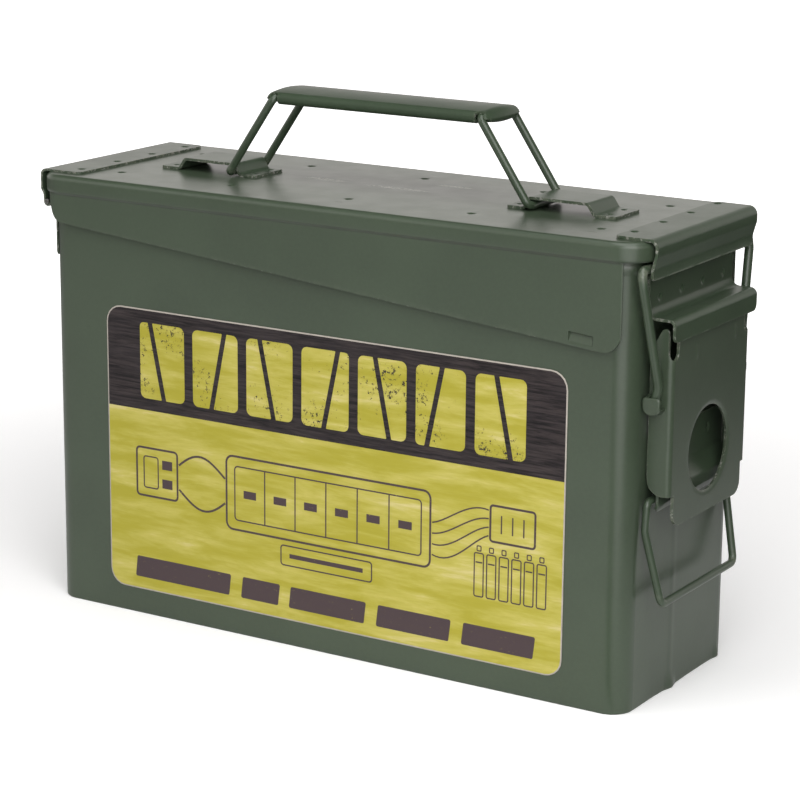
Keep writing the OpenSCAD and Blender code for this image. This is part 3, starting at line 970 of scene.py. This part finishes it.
def build_lid_sheet():
    dimple_xs = [0.6 + 54.1 * k for k in range(-2, 3)]
    dimple_ys = [-28.0, 28.0]
    marks = weld_marks([(x, y) for x in dimple_xs for y in dimple_ys], 1.6, 0.5)
    turns = [math.radians(a) for a in range(0, 91, 10)]
    ends = [SKIRT_RIGHT - SKIRT_CORNER * (1 - math.sin(a)) for a in turns]
    ends += [SKIRT_LEFT + SKIRT_END_W * (1 - math.cos(a)) for a in turns]
    tab_edges = [TAB_X0 - 0.12, TAB_X0 + 0.12, TAB_X1 - 0.12, TAB_X1 + 0.12]
    xs = merge_lines(span(-LID_X, LID_X, 7), around(dimple_xs, 1.6), ends, tab_edges, gap=0.1)
    ys = merge_lines(span(-LID_Y, LID_Y, 7), around(dimple_ys, 1.6))
    spots, xs, ys = perimeter(LID_X, LID_Y, LID_R, xs, ys, 10)
    fillet = 2.4
    rim_steps = ((-0.28, 0.0), (-0.12, 0.35), (-0.03, 0.8), (0.0, 1.3), (0.0, 3.2))
    rim = [(out, RIM_Z + up) for out, up in rim_steps]
    top = arc_profile((-fillet, LID_Z - fillet), fillet, 0, 90, 7)
    border = [(out, LID_Z) for out in (-4.0, -6.5, -9.5, -LID_R)]
    verts, faces = loft(spots, LID_R, rim + top + border)

    def plate(x, y):
        """The flat top with its weld marks, swaying a little away from its level border."""
        fade = math.cos(math.pi * x / (2 * LID_X)) * math.cos(math.pi * y / (2 * LID_Y))
        sway = math.sin(x / 23 + 0.4) * math.sin(y / 15 + 1.0) + math.sin(x / 39 + y / 27)
        return (x, y, LID_Z + marks(x, y) + 0.01 * fade * sway)

    more, quads = grid_sheet(xs, ys, plate, len(verts))
    verts, faces = verts + more, faces + quads
    worn = [0.0] * len(verts)
    past = [x for x in ends if abs(x) > LID_X - LID_R]
    stations = merge_lines([x for x in xs if SKIRT_LEFT < x < SKIRT_RIGHT], past, gap=0.1)
    columns = [skirt_column(x) for x in stations]
    rows = len(columns[0])
    for side in (-1, 1):
        first = len(verts)
        for i, column in enumerate(columns):
            at_end = i in (0, len(columns) - 1)
            verts += [(stations[i], side * y, z) for y, z, _ in column]
            worn += [1.0 if at_end else wear for _, _, wear in column]
        for i in range(len(columns) - 1):
            for j in range(rows - 1):
                a = first + i * rows + j
                faces.append((a, a + 1, a + rows + 1, a + rows))
    finish_piece("lid_sheet", verts, faces, "lid", ["lid_shell"], [LID_PAINT], worn,
                 (0, 0, 1), SKIRT_SHEET, 0.22)


RETAINER_R = 7.0


def build_retainer():
    lo, hi = box_mm("gasket_retainer")
    xs, ys = span(-hi[0], hi[0], 15), span(-hi[1], hi[1], 12)
    spots, xs, ys = perimeter(hi[0], hi[1], RETAINER_R, xs, ys)
    profile = [(0, lo[2]), (0, lo[2] + 0.6), (0, hi[2] - 1.6)]
    profile += arc_profile((-1.2, hi[2] - 1.2), 1.2, 0, 90, 4) + [(-3.5, hi[2]), (-RETAINER_R, hi[2])]
    verts, faces = loft(spots, RETAINER_R, profile)
    more, quads = grid_sheet(xs, ys, lambda x, y: (x, y, hi[2]), len(verts))
    finish_piece("gasket_plate", verts + more, faces + quads, "lid", ["gasket_retainer"],
                 [LID_PAINT], outward=(0, 0, 1), thickness=WALL, edge=0.2)


def build_gasket():
    """Rubber ring between the lid's rim and the retainer, with a shallow groove in its lower face."""
    lo, hi = box_mm("gasket")
    plate_hi = box_mm("gasket_retainer")[1]
    play = 0.15

    def loop(half_l, half_w, r):
        steps = span(-1, 1, 0.125)
        xs, ys = [t * (half_l - r) for t in steps], [t * (half_w - r) for t in steps]
        spots, _, _ = perimeter(half_l, half_w, r, xs, ys)
        return np.array([(b[0] + n[0] * r, b[1] + n[1] * r) for b, n in spots])

    outer = loop(hi[0], hi[1], LID_R - LID_SHEET)
    inner = loop(plate_hi[0] + play, plate_hi[1] + play, RETAINER_R + play)
    z0, z1 = lo[2], hi[2]
    profile = [(0.06, z0), (0.0, z0 + 0.5), (0.0, z1 - 0.5), (0.06, z1), (0.94, z1), (1.0, z1 - 0.5),
               (1.0, z0 + 0.5), (0.94, z0), (0.75, z0), (0.68, z0 + 0.35), (0.32, z0 + 0.35), (0.25, z0)]
    verts = [(*p, z) for t, z in profile for p in inner * (1 - t) + outer * t]
    finish_piece("lid_seal", verts, ring_faces(len(profile), len(outer), True), "lid", ["gasket"],
                 [RUBBER])


def build_hinge_strap():
    """Strap over the lid's hinge end. Its lower edge hooks under the pin, with gaps for the tongues."""
    lo, hi = box_mm("hinge_strap")
    pin = joint_mm("lid_hinge")
    leg_x = pin[0] - KNUCKLE_R
    fold = Fold([(hi[0], hi[2]), (lo[0], hi[2]), (lo[0], RIM_Z - 0.2), (leg_x, RIM_Z - 2.2), (leg_x, pin[2])],
                [2.6, 2.0, 2.0], tail=[(KNUCKLE_R, 180), (0, 4.6)])
    s = fold.length
    hook = math.pi * KNUCKLE_R + 4.6
    slot_s = s - hook - 4
    notches = []
    for y in KNUCKLE_YS:
        reach = KNUCKLE_W / 2 + 0.6
        notches += [(s, y - reach), (slot_s, y - reach), (slot_s, y + reach), (s, y + reach)]
    outline = rounded([(0, lo[1]), (s, lo[1])] + notches + [(s, hi[1]), (0, hi[1])],
                      [3, 0.4] + [0.3, 1.0, 1.0, 0.3] * 2 + [0.4, 3], turns=4)
    weld_x = -122.3
    welded_strip("hinge_band", "lid", "hinge_strap", FITTING_PAINT, fold, outline, [hi[0] - weld_x],
                 [-35.0, -11.7, 11.7, 35.0], (0, 1), (4, 7, 15), SKIRT_SHEET, edge=0.18)


def build_catch_flap():
    lo, hi = box_mm("catch_flap")
    low_x = hi[0] - 1.5
    fold = Fold([(lo[0], hi[2]), (hi[0], hi[2]), (hi[0], RIM_Z + 2.6), (low_x, RIM_Z - 2.6), (low_x, lo[2])],
                [3.4, 5.0, 5.0])
    s = fold.length
    outline = rounded([(0, lo[1]), (s, lo[1]), (s, hi[1]), (0, hi[1])], [2.5, 1.2, 1.2, 2.5])
    weld_x, lip = 124.0, 1.6

    def flare(u):
        """The lower edge stands out a little as a lip."""
        return 0.28 * max(0.0, 1 - (s - u) / lip) ** 2

    welded_strip("lid_catch", "lid", "catch_flap", LATCH_PAINT, fold, outline, [weld_x - lo[0]],
                 [-31.5, -8.5, 14.5, 37.5], (0, 1), (4, 7, 12), edge=0.26, flare=flare)


# ---- Handle ----

HANDLE_WIRE_R = 1.6
LEG_Y = 12.3


def build_handle_bracket(name, node, side):
    """Bridge with a foot at each end; side is -1 for left and 1 for right."""
    lo, hi = box_mm(node)
    z0, rise = lo[2] + FITTING_SHEET, hi[2]
    inner = lo[0] if side > 0 else -hi[0]
    along = ((0, z0), (7.3, z0), (9.4, rise), (34.6, rise), (37.4, z0), (46.1, z0))
    fold = Fold([(inner + x, z) for x, z in along], [1.4, 1.9, 1.9, 1.4])
    outline = box_outline(0, lo[1], fold.length, hi[1], 1.2)
    welded_strip(name, "lid", node, FITTING_PAINT, fold, outline, [3.4, fold.length - 4.6], [-5.5, 5.5],
                 (0, 1), (3.5, 4, 14), radius=1.2, depth=0.4, edge=0.24, side=side)


def rubbed_near(points, reach):
    """Paint is rubbed off near these points."""

    def amount(p):
        nearest = min(np.linalg.norm(p - np.array(q)) for q in points)
        return max(0.0, 1 - nearest / reach)

    return amount


def build_handle_wires():
    left, right = joint_mm("handle_grip_turn"), joint_mm("handle_right_turn")
    foot = joint_mm("handle_fold")
    foot_right = left[0] + right[0] - foot[0]
    cut_y = 9.7
    half = [(left[0], LEG_Y, left[2]), (foot[0], LEG_Y, foot[2]), (foot[0], cut_y, foot[2])]
    left_path = [(x, -y, z) for x, y, z in reversed(half)] + half
    feet = [(foot[0], s * LEG_Y, foot[2]) for s in (-1, 1)]
    wire("handle_wire_left", "handle_left", "handle_link_left", WIRE_PAINT, left_path,
         HANDLE_WIRE_R, [2.3, 2.3, 2.6, 2.6, 2.3, 2.3], worn_at=rubbed_near(feet, 6))
    right_path = [(foot_right, -LEG_Y, foot[2]), (right[0], -LEG_Y, right[2]), (right[0], LEG_Y, right[2]),
                  (foot_right, LEG_Y, foot[2])]
    wire("handle_wire_right", "handle_right", "handle_link_right", WIRE_PAINT, right_path,
         HANDLE_WIRE_R, [2.3, 2.6, 2.6, 2.3], closed=True,
         worn_at=rubbed_near([(foot_right, LEG_Y, foot[2])], 7))
    lo, hi = box_mm("handle_foot_left")
    wire("handle_foot_rod", "handle_foot", "handle_foot_left", WIRE_PAINT,
         [(foot[0], lo[1], foot[2]), (foot[0], hi[1], foot[2])], HANDLE_WIRE_R, 0)


def build_grip():
    """Plate with rolled long edges. Its ends bend down past the wires, with an arch cut over each leg."""
    hi = box_mm("handle_grip")[1]
    left, right = joint_mm("handle_grip_turn"), joint_mm("handle_right_turn")
    middle, half_l = (left[0] + right[0]) / 2, (right[0] - left[0]) / 2
    top, roll_r, crown = hi[2], 2.4, 9
    flat_w = hi[1] - roll_r
    side = Fold([(0, top), (0.01, top)], [], tail=[(flat_w / math.radians(crown), -crown), (roll_r, -285)])
    # The plate bends down past the wire, then turns back under it
    curl = Fold([(0, 0), (0.01, 0)], [], tail=[(4.5, -70), (2.0, -110), (0, 2.6)])
    curl_u = half_l + 0.4
    curl_w, end_w = 10.4, flat_w + 2.3
    roll_l, arch_l, arch_v = half_l - 1.9, half_l + 2.9, flat_w + 0.7
    full_u, end_u, side_v = curl_u + 6.0, curl_u + curl.length, side.length
    corner = [(roll_l, side_v), (roll_l, arch_v), (arch_l, arch_v), (arch_l, end_w), (full_u, end_w),
              (full_u, curl_w), (end_u, curl_w)]
    radii = [0.3, 1.2, 2.0, 0.5, 1.2, 0.8, 0.4]
    outline, soft = [], []
    for su, sv in ((1, 1), (1, -1), (-1, -1), (-1, 1)):
        order = su * sv
        outline += [(su * u, sv * v) for u, v in corner][::order]
        soft += radii[::order]
    outline = rounded(outline, soft, turns=6)
    bends = [curl_u + u for u in curl.lines(2, 14)]
    rolls = span(flat_w, side_v, roll_r * 0.25)
    us = merge_lines(span(-curl_u, curl_u, 5), bends, [-u for u in bends])
    vs = merge_lines(span(-flat_w, flat_w, 2.5), rolls, [-v for v in rolls])

    def place(u, v):
        y, z = side.at(abs(v))
        past = max(abs(u) - curl_u, 0)
        out, down = curl.at(past)
        ahead = curl.at(past + 0.01)
        turned = math.atan2(down - ahead[1], ahead[0] - out)
        # The rolled side and the crown lie inward of the bent plate
        sink = top - z
        x = min(abs(u), curl_u) + out - sink * math.sin(turned)
        return (middle + math.copysign(x, u), math.copysign(y, v), top + down - sink * math.cos(turned))

    sheet("handle_plate", "grip", ["handle_grip"], GRIP_PAINT, [outline], us, vs, place,
          FITTING_SHEET, (0, 0, 1), edge=0.2)


# ---- Latch and ring ----

BAIL_WIRE_R = 1.75
RING_WIRE_R = 1.5


def build_bail():
    bar, pivot = joint_mm("bail_swing"), joint_mm("lever_swing")
    bar_y = box_mm("latch_bail")[1][1] - BAIL_WIRE_R * 1.03
    leg_y, end_y = 34.4, 30.0
    half = [(bar[0], bar_y, bar[2]), (bar[0] + 0.8, bar_y, bar[2] - 5.5),
            (pivot[0] + 1.6, leg_y + 0.1, pivot[2] + 6.5), (pivot[0], leg_y, pivot[2]),
            (pivot[0], end_y, pivot[2])]
    path = [(x, -y, z) for x, y, z in reversed(half)] + half
    bends = [1, 2.4, 7, 6, 3.0]
    wire("latch_wire", "bail", "latch_bail", WIRE_PAINT, path, BAIL_WIRE_R,
         bends + bends[::-1], worn_at=rubbed_near([(bar[0], s * bar_y, bar[2]) for s in (-1, 1)], 5))


def build_ring():
    bar = joint_mm("ring_swing")
    low_x, low_y = bar[0] + 5.9, 31.1
    low_z = box_mm("pull_ring")[0][2] + RING_WIRE_R * 1.03
    half = [(bar[0], 33.4, bar[2]), (bar[0], 34.4, bar[2] - 11), (low_x, low_y, low_z)]
    path = [(x, -y, z) for x, y, z in reversed(half)] + half
    wire("pull_wire", "ring", "pull_ring", WIRE_PAINT, path, RING_WIRE_R,
         [3.2, 9, 2.2, 2.2, 9, 3.2], closed=True,
         worn_at=rubbed_near([(low_x, s * low_y, low_z) for s in (-1, 1)], 5))


# Directions, in degrees from straight out, in which the pocket is open for the bail to swing
POCKET_OPEN = (-22, 112)


def lever_pocket(side, pivot, inner_y, outer_y):
    """Cup pressed out of the lever's flange. It is open at the top, where the end of the bail drops in."""
    half_w, low, high, soft = 3.6, -3.75, 2.9, 0.8
    loop = rounded([(-half_w, low), (half_w, low), (half_w, high), (-half_w, high)], [3.0, 3.0, 1.3, 1.3], 6)
    loop = split_outline(loop, [-1.2, 0.0, 1.2], [-2.4, -1.4, 0.0, 1.4])
    count = len(loop)
    rings = [(1.28, inner_y), (1.1, inner_y + 0.3), (1.0, inner_y + 0.9), (1.0, outer_y - soft)]
    rings += [(1 - soft / half_w * (1 - math.cos(a)), outer_y - soft + soft * math.sin(a))
              for a in (math.radians(d) for d in (22, 45, 67, 90))]
    rings += [(0.45, outer_y), (0.2, outer_y)]
    verts = []
    for size, y in rings:
        for x, z in loop:
            # The flare at the root fades out towards the opening
            angle = math.degrees(math.atan2(z, x)) % 360
            clear = min(angle - POCKET_OPEN[1], 360 + POCKET_OPEN[0] - angle) / 40
            grow = 1 + (size - 1) * (min(max(clear, 0), 1) if size > 1 else 1)
            verts.append((pivot[0] + max(x * grow, -3.65), side * y, pivot[2] + z * grow))
    flare_rings = 3
    faces = []
    for n, face in enumerate(ring_faces(len(rings), count)):
        (ax, az), (bx, bz) = loop[n % count], loop[(n + 1) % count]
        middle = math.degrees(math.atan2(az + bz, ax + bx))
        if n >= flare_rings * count or not POCKET_OPEN[0] < middle < POCKET_OPEN[1]:
            faces.append(face)
    faces.append(tuple((len(rings) - 1) * count + i for i in range(count)))
    name = "lever_pocket_right" if side > 0 else "lever_pocket_left"
    finish_piece(name, verts, faces, "lever", [], [LEVER_PAINT], outward=(0, side, 0),
                 thickness=0.7, edge=0.12)


def build_lever():
    """Pressed lever: a face with a finger hole, and a flange folded back at each side."""
    lo, hi = box_mm("latch_lever")
    pivot = joint_mm("lever_swing")
    face_x, back_x, half_w, bend = hi[0], 131.6, 32.4, 2.3
    top, flange_top, flange_bottom, bottom = 144.2, hi[2], 82.6, lo[2]
    fold = Fold([(-half_w, back_x), (-half_w, face_x), (half_w, face_x), (half_w, back_x)], [bend, bend])
    total, mid = fold.length, fold.length / 2
    # The pattern starts at the back of the left flange. Half of it is drawn, then mirrored.
    tab_u, tongue_u = mid - 27.3, mid - 28.5
    slot_u = 139.5 - back_x
    slot_r, slot_mid = (tab_u - slot_u) / 2, (tab_u + slot_u) / 2
    slot_z = 133.2 + slot_r
    slot = [(slot_mid - slot_r * math.cos(a), slot_z - slot_r * math.sin(a))
            for a in (math.radians(20 * k) for k in range(10))]
    flange = [(132.3, flange_bottom), (132.3, 133), (133.8, 138.6), (137.0, flange_top)]
    flange = [(tongue_u, flange_bottom)] + [(x - back_x, z) for x, z in flange] + [(slot_u, flange_top)]
    flange = rounded(flange, [0, 6.0, 3, 3, 1.6, 1.6])
    tab_top = rounded([(tab_u, slot_z), (tab_u, top), (mid, top)], [0, 2.2, 0])
    foot = rounded([(tongue_u, flange_bottom), (tongue_u, bottom), (mid, bottom)], [0, 5.0, 0])
    half = foot[1:-1][::-1] + flange + slot + tab_top[1:-1]
    outline = half + [(total - u, v) for u, v in reversed(half)]
    hole_r, hole_z, dish = 16.2, 94.6, 2.2
    hole = circle_outline((mid, hole_z), hole_r, 56)
    ribs = [(mid - 12.6, 133.6), (mid + 19.9, 135.0)]
    us = merge_lines(fold.lines(5, 13), around([rib[0] for rib in ribs], 1.0, 3))
    vs = merge_lines(span(bottom, flange_top, 5), around([rib[1] for rib in ribs], 2.4, 3))
    extra = [p for d in (0.7, 1.4, dish) for p in circle_outline((mid, hole_z), hole_r + d, 56)]

    def place(u, v):
        """Dished edge of the finger hole, two pressed ribs, and a face bowed by a hair."""
        y, x = fold.at(u)
        rim = math.hypot(u - mid, v - hole_z) - hole_r
        x -= 0.55 * max(0.0, 1 - rim / dish) ** 2
        for rib_u, rib_v in ribs:
            across, along = (u - rib_u) / 0.95, (v - rib_v) / 2.3
            x += 0.32 * math.exp(-(across**2) - along**4)
        if abs(u - mid) < half_w - bend and v > hole_z:
            x -= 0.15 * (1 - math.cos(math.pi * (v - hole_z) / 90))
        return (x, y, v)

    sheet("latch_plate", "lever", ["latch_lever"], LEVER_PAINT, [outline, hole], us, vs,
          place, 1.2, (1, 0, 0), edge=0.25, extra=extra)
    for side in (-1, 1):
        lever_pocket(side, pivot, half_w - 0.1, hi[1])


# ---- Label ----

BOARD, FIELD, BLOCK, INK, RIM = range(5)
BAND_V = 75.6


def stroke_box(u0, v0, u1, v1, radius, width=0.9):
    """A drawn rectangle, as its outer and inner edge."""
    h = width / 2
    return [box_outline(u0 - h, v0 - h, u1 + h, v1 + h, radius + h),
            box_outline(u0 + h, v0 + h, u1 - h, v1 - h, max(radius - h, 0.2))]


def bar(u0, v0, u1, v1):
    return [[(u0, v0), (u1, v0), (u1, v1), (u0, v1)]]


def stroke_line(points, width=0.9):
    """A drawn line through the points, as a closed outline."""
    points = [np.array(p, float) for p in points]
    left, right = [], []
    for i, p in enumerate(points):
        d = points[min(i + 1, len(points) - 1)] - points[max(i - 1, 0)]
        off = np.array([-d[1], d[0]]) / np.linalg.norm(d) * width / 2
        left.append(tuple(p + off))
        right.append(tuple(p - off))
    return [left + right[::-1]]


def wavy(start, end, sag, count=14):
    """Points on a drooping lead from start to end."""
    out = []
    for i in range(count + 1):
        t = i / count
        ease = t * t * (3 - 2 * t)
        out.append((start[0] + (end[0] - start[0]) * t,
                    start[1] + (end[1] - start[1]) * ease - sag * math.sin(math.pi * t)))
    return out


def stencil_blocks():
    """A row of plain stencilled blocks across the board, each split by a slanted bridge."""
    shapes = []
    count, first, width, pitch, gap = 7, 16.5, 21.6, 25.7, 1.1
    v0, v1 = 80.5, 111.5
    for k in range(count):
        u0 = first + pitch * k
        u1 = u0 + width
        lean = 3.2 if k % 2 else -3.2
        cut = u0 + width * (0.38 + 0.24 * ((k * 3) % 5) / 4)
        low, high = cut - lean, cut + lean
        left = [(u0, v0), (low - gap, v0), (high - gap, v1), (u0, v1)]
        right = [(low + gap, v0), (u1, v0), (u1, v1), (high + gap, v1)]
        shapes.append([rounded(left, [2.5, 0.3, 0.3, 2.5])])
        shapes.append([rounded(right, [0.3, 2.5, 2.5, 0.3])])
    return shapes


def pack_drawing():
    """Line drawing of a battery pack with its leads and plugs."""
    thin = 0.6
    shapes = [stroke_box(58, 33, 152, 63, 3.0), stroke_box(62, 37, 148, 59, 1.5, thin)]
    cells = span(62, 148, 14.4)
    shapes += [bar(u - 0.3, 37.3, u + 0.3, 58.7) for u in cells[1:-1]]
    shapes += [bar(u + 4.2, 46.4, u + 10.2, 49.6) for u in cells[:-1]]
    shapes += [stroke_box(14, 40, 34, 60, 1.6), stroke_box(17.5, 43.5, 24.5, 56.5, 1.0, thin)]
    shapes += [bar(26.5, v, 31.5, v + 3.8) for v in (44.2, 52.0)]
    shapes += [stroke_line(wavy((34.8, 50 + s * 5), (57.3, 48 + s * 5), -6.0 * s)) for s in (1, -1)]
    shapes += [stroke_box(178, 48, 197, 62, 1.2)]
    shapes += [bar(u - 0.3, 51.5, u + 0.3, 58.5) for u in (182.75, 187.5, 192.25)]
    shapes += [stroke_line(wavy((152.8, 38.5 + 4.2 * k), (177.3, 50.0 + 3.3 * k), 3.0 - 1.6 * k), thin)
               for k in range(4)]
    shapes += [stroke_box(84, 22.5, 126, 30.5, 1.2, thin), bar(88, 25.6, 122, 27.4)]
    return shapes


def cell_row():
    """Six upright round cells, each with its cap."""
    shapes = []
    for u in (171.4 + 5.35 * k for k in range(6)):
        shapes.append(stroke_box(u, 25.5, u + 3.9, 42.5, 0.7, 0.55))
        shapes.append(stroke_box(u + 1.1, 43.4, u + 2.8, 45.3, 0.3, 0.5))
        shapes.append(bar(u + 0.5, 38.6, u + 3.4, 39.2))
    return shapes


def caption_bars():
    """Plain dark bars in place of a caption."""
    shapes = []
    for u0, u1 in ((12.6, 60.0), (64.7, 83.5), (87.6, 123.5), (128.0, 161.5), (166.0, 198.0)):
        shapes.append([rounded([(u0, 5.2), (u1 - 1.0, 5.2), (u1, 14.0), (u0 + 1.0, 14.0)], 0.8)])
    return shapes


def build_label():
    lo, hi = box_mm("label")
    length, height = hi[0] - lo[0], hi[2] - lo[2]
    corner, rim = 7.0, 0.55
    outer = box_outline(0, 0, length, height, corner)
    field = box_outline(rim, rim, length - rim, height - rim, corner - rim)
    prints = [(BLOCK, loops) for loops in stencil_blocks()]
    prints += [(INK, loops) for loops in pack_drawing() + cell_row() + caption_bars()]
    us, vs = span(0, length, 8), merge_lines(span(0, height, 8), [BAND_V])
    every = [outer, field] + [loop for _, loops in prints for loop in loops]
    every = [split_outline(loop, us, vs) for loop in every]
    grid = np.array([(u, v) for u in us for v in vs], float)
    grid = grid[inside(grid, [outer])]
    grid = grid[edge_distance(grid, every) > 0.3]
    band_edge = [(rim, BAND_V), (length - rim, BAND_V)]
    flat, faces, middles, _ = fill_loops(every, grid, [band_edge], near=1e-4)
    kind = np.where(middles[:, 1] > BAND_V, BOARD, FIELD)
    kind[~inside(middles, [field])] = RIM
    for material, loops in prints:
        kind[inside(middles, loops)] = material
    keep = inside(middles, [outer])
    faces = [tuple(f) for f, ok in zip(faces, keep) if ok]
    # It lies on the wall, so it follows the wall's ripple
    verts = []
    for u, v in flat:
        x, z = lo[0] + u, lo[2] + v
        verts.append((x, lo[1] - ripple(x, z, BODY_X, MOUTH_Z), z))
    inks = [wood_print(), lime_print(), chipped_lime_print(), ink_print(), pale_rim_print()]
    finish_piece("printed_label", verts, faces, "can", ["label"], inks, outward=(0, -1, 0),
                 thickness=hi[1] - lo[1], face_materials=[int(k) for k in kind[keep]])


# ---- Stage, light and camera ----


def direction_to(azimuth, elevation):
    """Unit vector from the object. Azimuth 0 is straight out from the labelled side."""
    a, e = math.radians(azimuth), math.radians(elevation)
    return (math.sin(a) * math.cos(e), -math.cos(a) * math.cos(e), math.sin(e))


def build_floor():
    """Pale floor that runs out into the white backdrop.

    Reflections see it dimmer behind the can, and in two wedges that start at the can's near right corner.
    """
    half = 2.5
    mesh = bpy.data.meshes.new("floor")
    corners = [(-half, -half, 0), (half, -half, 0), (half, half, 0), (-half, half, 0)]
    mesh.from_pydata(corners, [], [(0, 1, 2, 3)])
    floor = bpy.data.objects.new("floor", mesh)
    bpy.context.scene.collection.objects.link(floor)
    s = Shader("pale_floor")
    off_corner = s.vector("SUBTRACT", s.mm, (BODY_X, -BODY_Y, 0.0))
    way = s.vector("NORMALIZE", off_corner)
    far = s.step(s.vector("DISTANCE", s.mm, (-200, -300, 0)), 560, 1000, 0.82, 0.02)
    ahead = s.step(s.vector("DOT_PRODUCT", way, direction_to(2, 0)), 0.960, 0.990, 1.0, 0.1)
    beside = s.step(s.vector("DOT_PRODUCT", way, direction_to(92, 0)), 0.62, 0.90)
    beside = s.times(beside, s.step(s.vector("LENGTH", off_corner), 90, 300))
    dim = s.times(s.times(far, ahead), s.math("SUBTRACT", 1.0, s.times(beside, 0.9)))
    seen = s.seen_by_camera()
    tone = s.mix(seen, s.mix(dim, (0.0, 0.0, 0.0), (1.0, 1.0, 1.0)), (0.92, 0.92, 0.92))
    glow = s.step(s.vector("LENGTH", s.mm), 180, 900, 0.14, 1.0)
    s.set(color=tone, rough=0.95, shine=0.0, glow=(1.0, 1.0, 1.0), glow_power=s.times(seen, glow))
    mesh.materials.append(s.material)


def soft_light(name, azimuth, elevation, distance, size, power, shine=1.0):
    """A square softbox aimed at the object."""
    data = bpy.data.lights.new(name, "AREA")
    data.shape = "SQUARE"
    data.size = size
    data.energy = power
    data.specular_factor = shine
    light = bpy.data.objects.new(name, data)
    bpy.context.scene.collection.objects.link(light)
    back = Vector(direction_to(azimuth, elevation))
    light.location = (cad_box[0] + cad_box[1]) / 2 + back * distance
    light.rotation_mode = "QUATERNION"
    light.rotation_quaternion = back.to_track_quat("Z", "Y")


def studio_sky():
    """White backdrop behind the object, dimmer overhead and in front, with one soft window on each side."""
    world = bpy.data.worlds.new("studio")
    bpy.context.scene.world = world
    world.use_nodes = True
    sky = Nodes(world.node_tree)
    way = sky.add("ShaderNodeTexCoord").outputs["Generated"]

    def toward(direction):
        return sky.vector("DOT_PRODUCT", way, direction)

    back = sky.step(toward((-0.52, 0.85, 0.0)), 0.0, 0.6, 0.14, 1.12)
    low = sky.step(toward((0.0, 0.0, 1.0)), 0.32, 0.54, 1.0, 0.05)
    left = sky.step(toward(direction_to(-44, 22)), 0.74, 0.94, 0.0, 0.6)
    right = sky.step(toward(direction_to(50, 22)), 0.80, 0.96, 0.0, 1.1)
    total = sky.math("ADD", sky.math("ADD", sky.times(back, low), left), right)
    white = sky.times(sky.seen_by_camera(), 1.1)
    background = world.node_tree.nodes["Background"]
    sky.put(background.inputs["Strength"], sky.math("MAXIMUM", total, white))
    sky.put(background.inputs["Color"], (1.0, 0.955, 0.93))


def build_light():
    studio_sky()
    soft_light("key_right", 38, 36, 1.2, 0.8, 5.5)
    soft_light("fill_left", -42, 30, 1.5, 0.8, 1.6)
    soft_light("front_right", 38, 10, 0.45, 0.35, 0.6, 0.0)
    soft_light("top", 20, 76, 1.4, 1.2, 13, 0.0)


def build_camera():
    """Long lens from the right front, a little above the object."""
    target = Vector((4.47, 4.33, 92.30)) * MM
    distance, roll = 1.0693, math.radians(0.51)
    back = Vector(direction_to(31.63, 14.27))
    right = Vector((0, 0, 1)).cross(back).normalized()
    up = back.cross(right)
    x_axis = math.cos(roll) * right + math.sin(roll) * up
    y_axis = -math.sin(roll) * right + math.cos(roll) * up
    data = bpy.data.cameras.new("camera")
    data.lens, data.sensor_width = 121.07, 36
    data.clip_start, data.clip_end = 0.01, 50
    camera = bpy.data.objects.new("camera", data)
    turn = Matrix((x_axis, y_axis, back)).transposed().to_4x4()
    camera.matrix_world = Matrix.Translation(target + back * distance) @ turn
    bpy.context.scene.collection.objects.link(camera)
    bpy.context.scene.camera = camera


build_can_wall()
build_can_floor()
build_keeper()
build_ring_bracket()
build_hinge_bracket()
build_hinge_pin()
build_label()
build_lid_sheet()
build_retainer()
build_gasket()
build_hinge_strap()
build_catch_flap()
build_handle_bracket("handle_base_left", "handle_bracket_left", -1)
build_handle_bracket("handle_base_right", "handle_bracket_right", 1)
build_handle_wires()
build_grip()
build_bail()
build_lever()
build_ring()
build_floor()
build_light()
build_camera()
bpy.context.scene.view_settings.view_transform = "Standard"
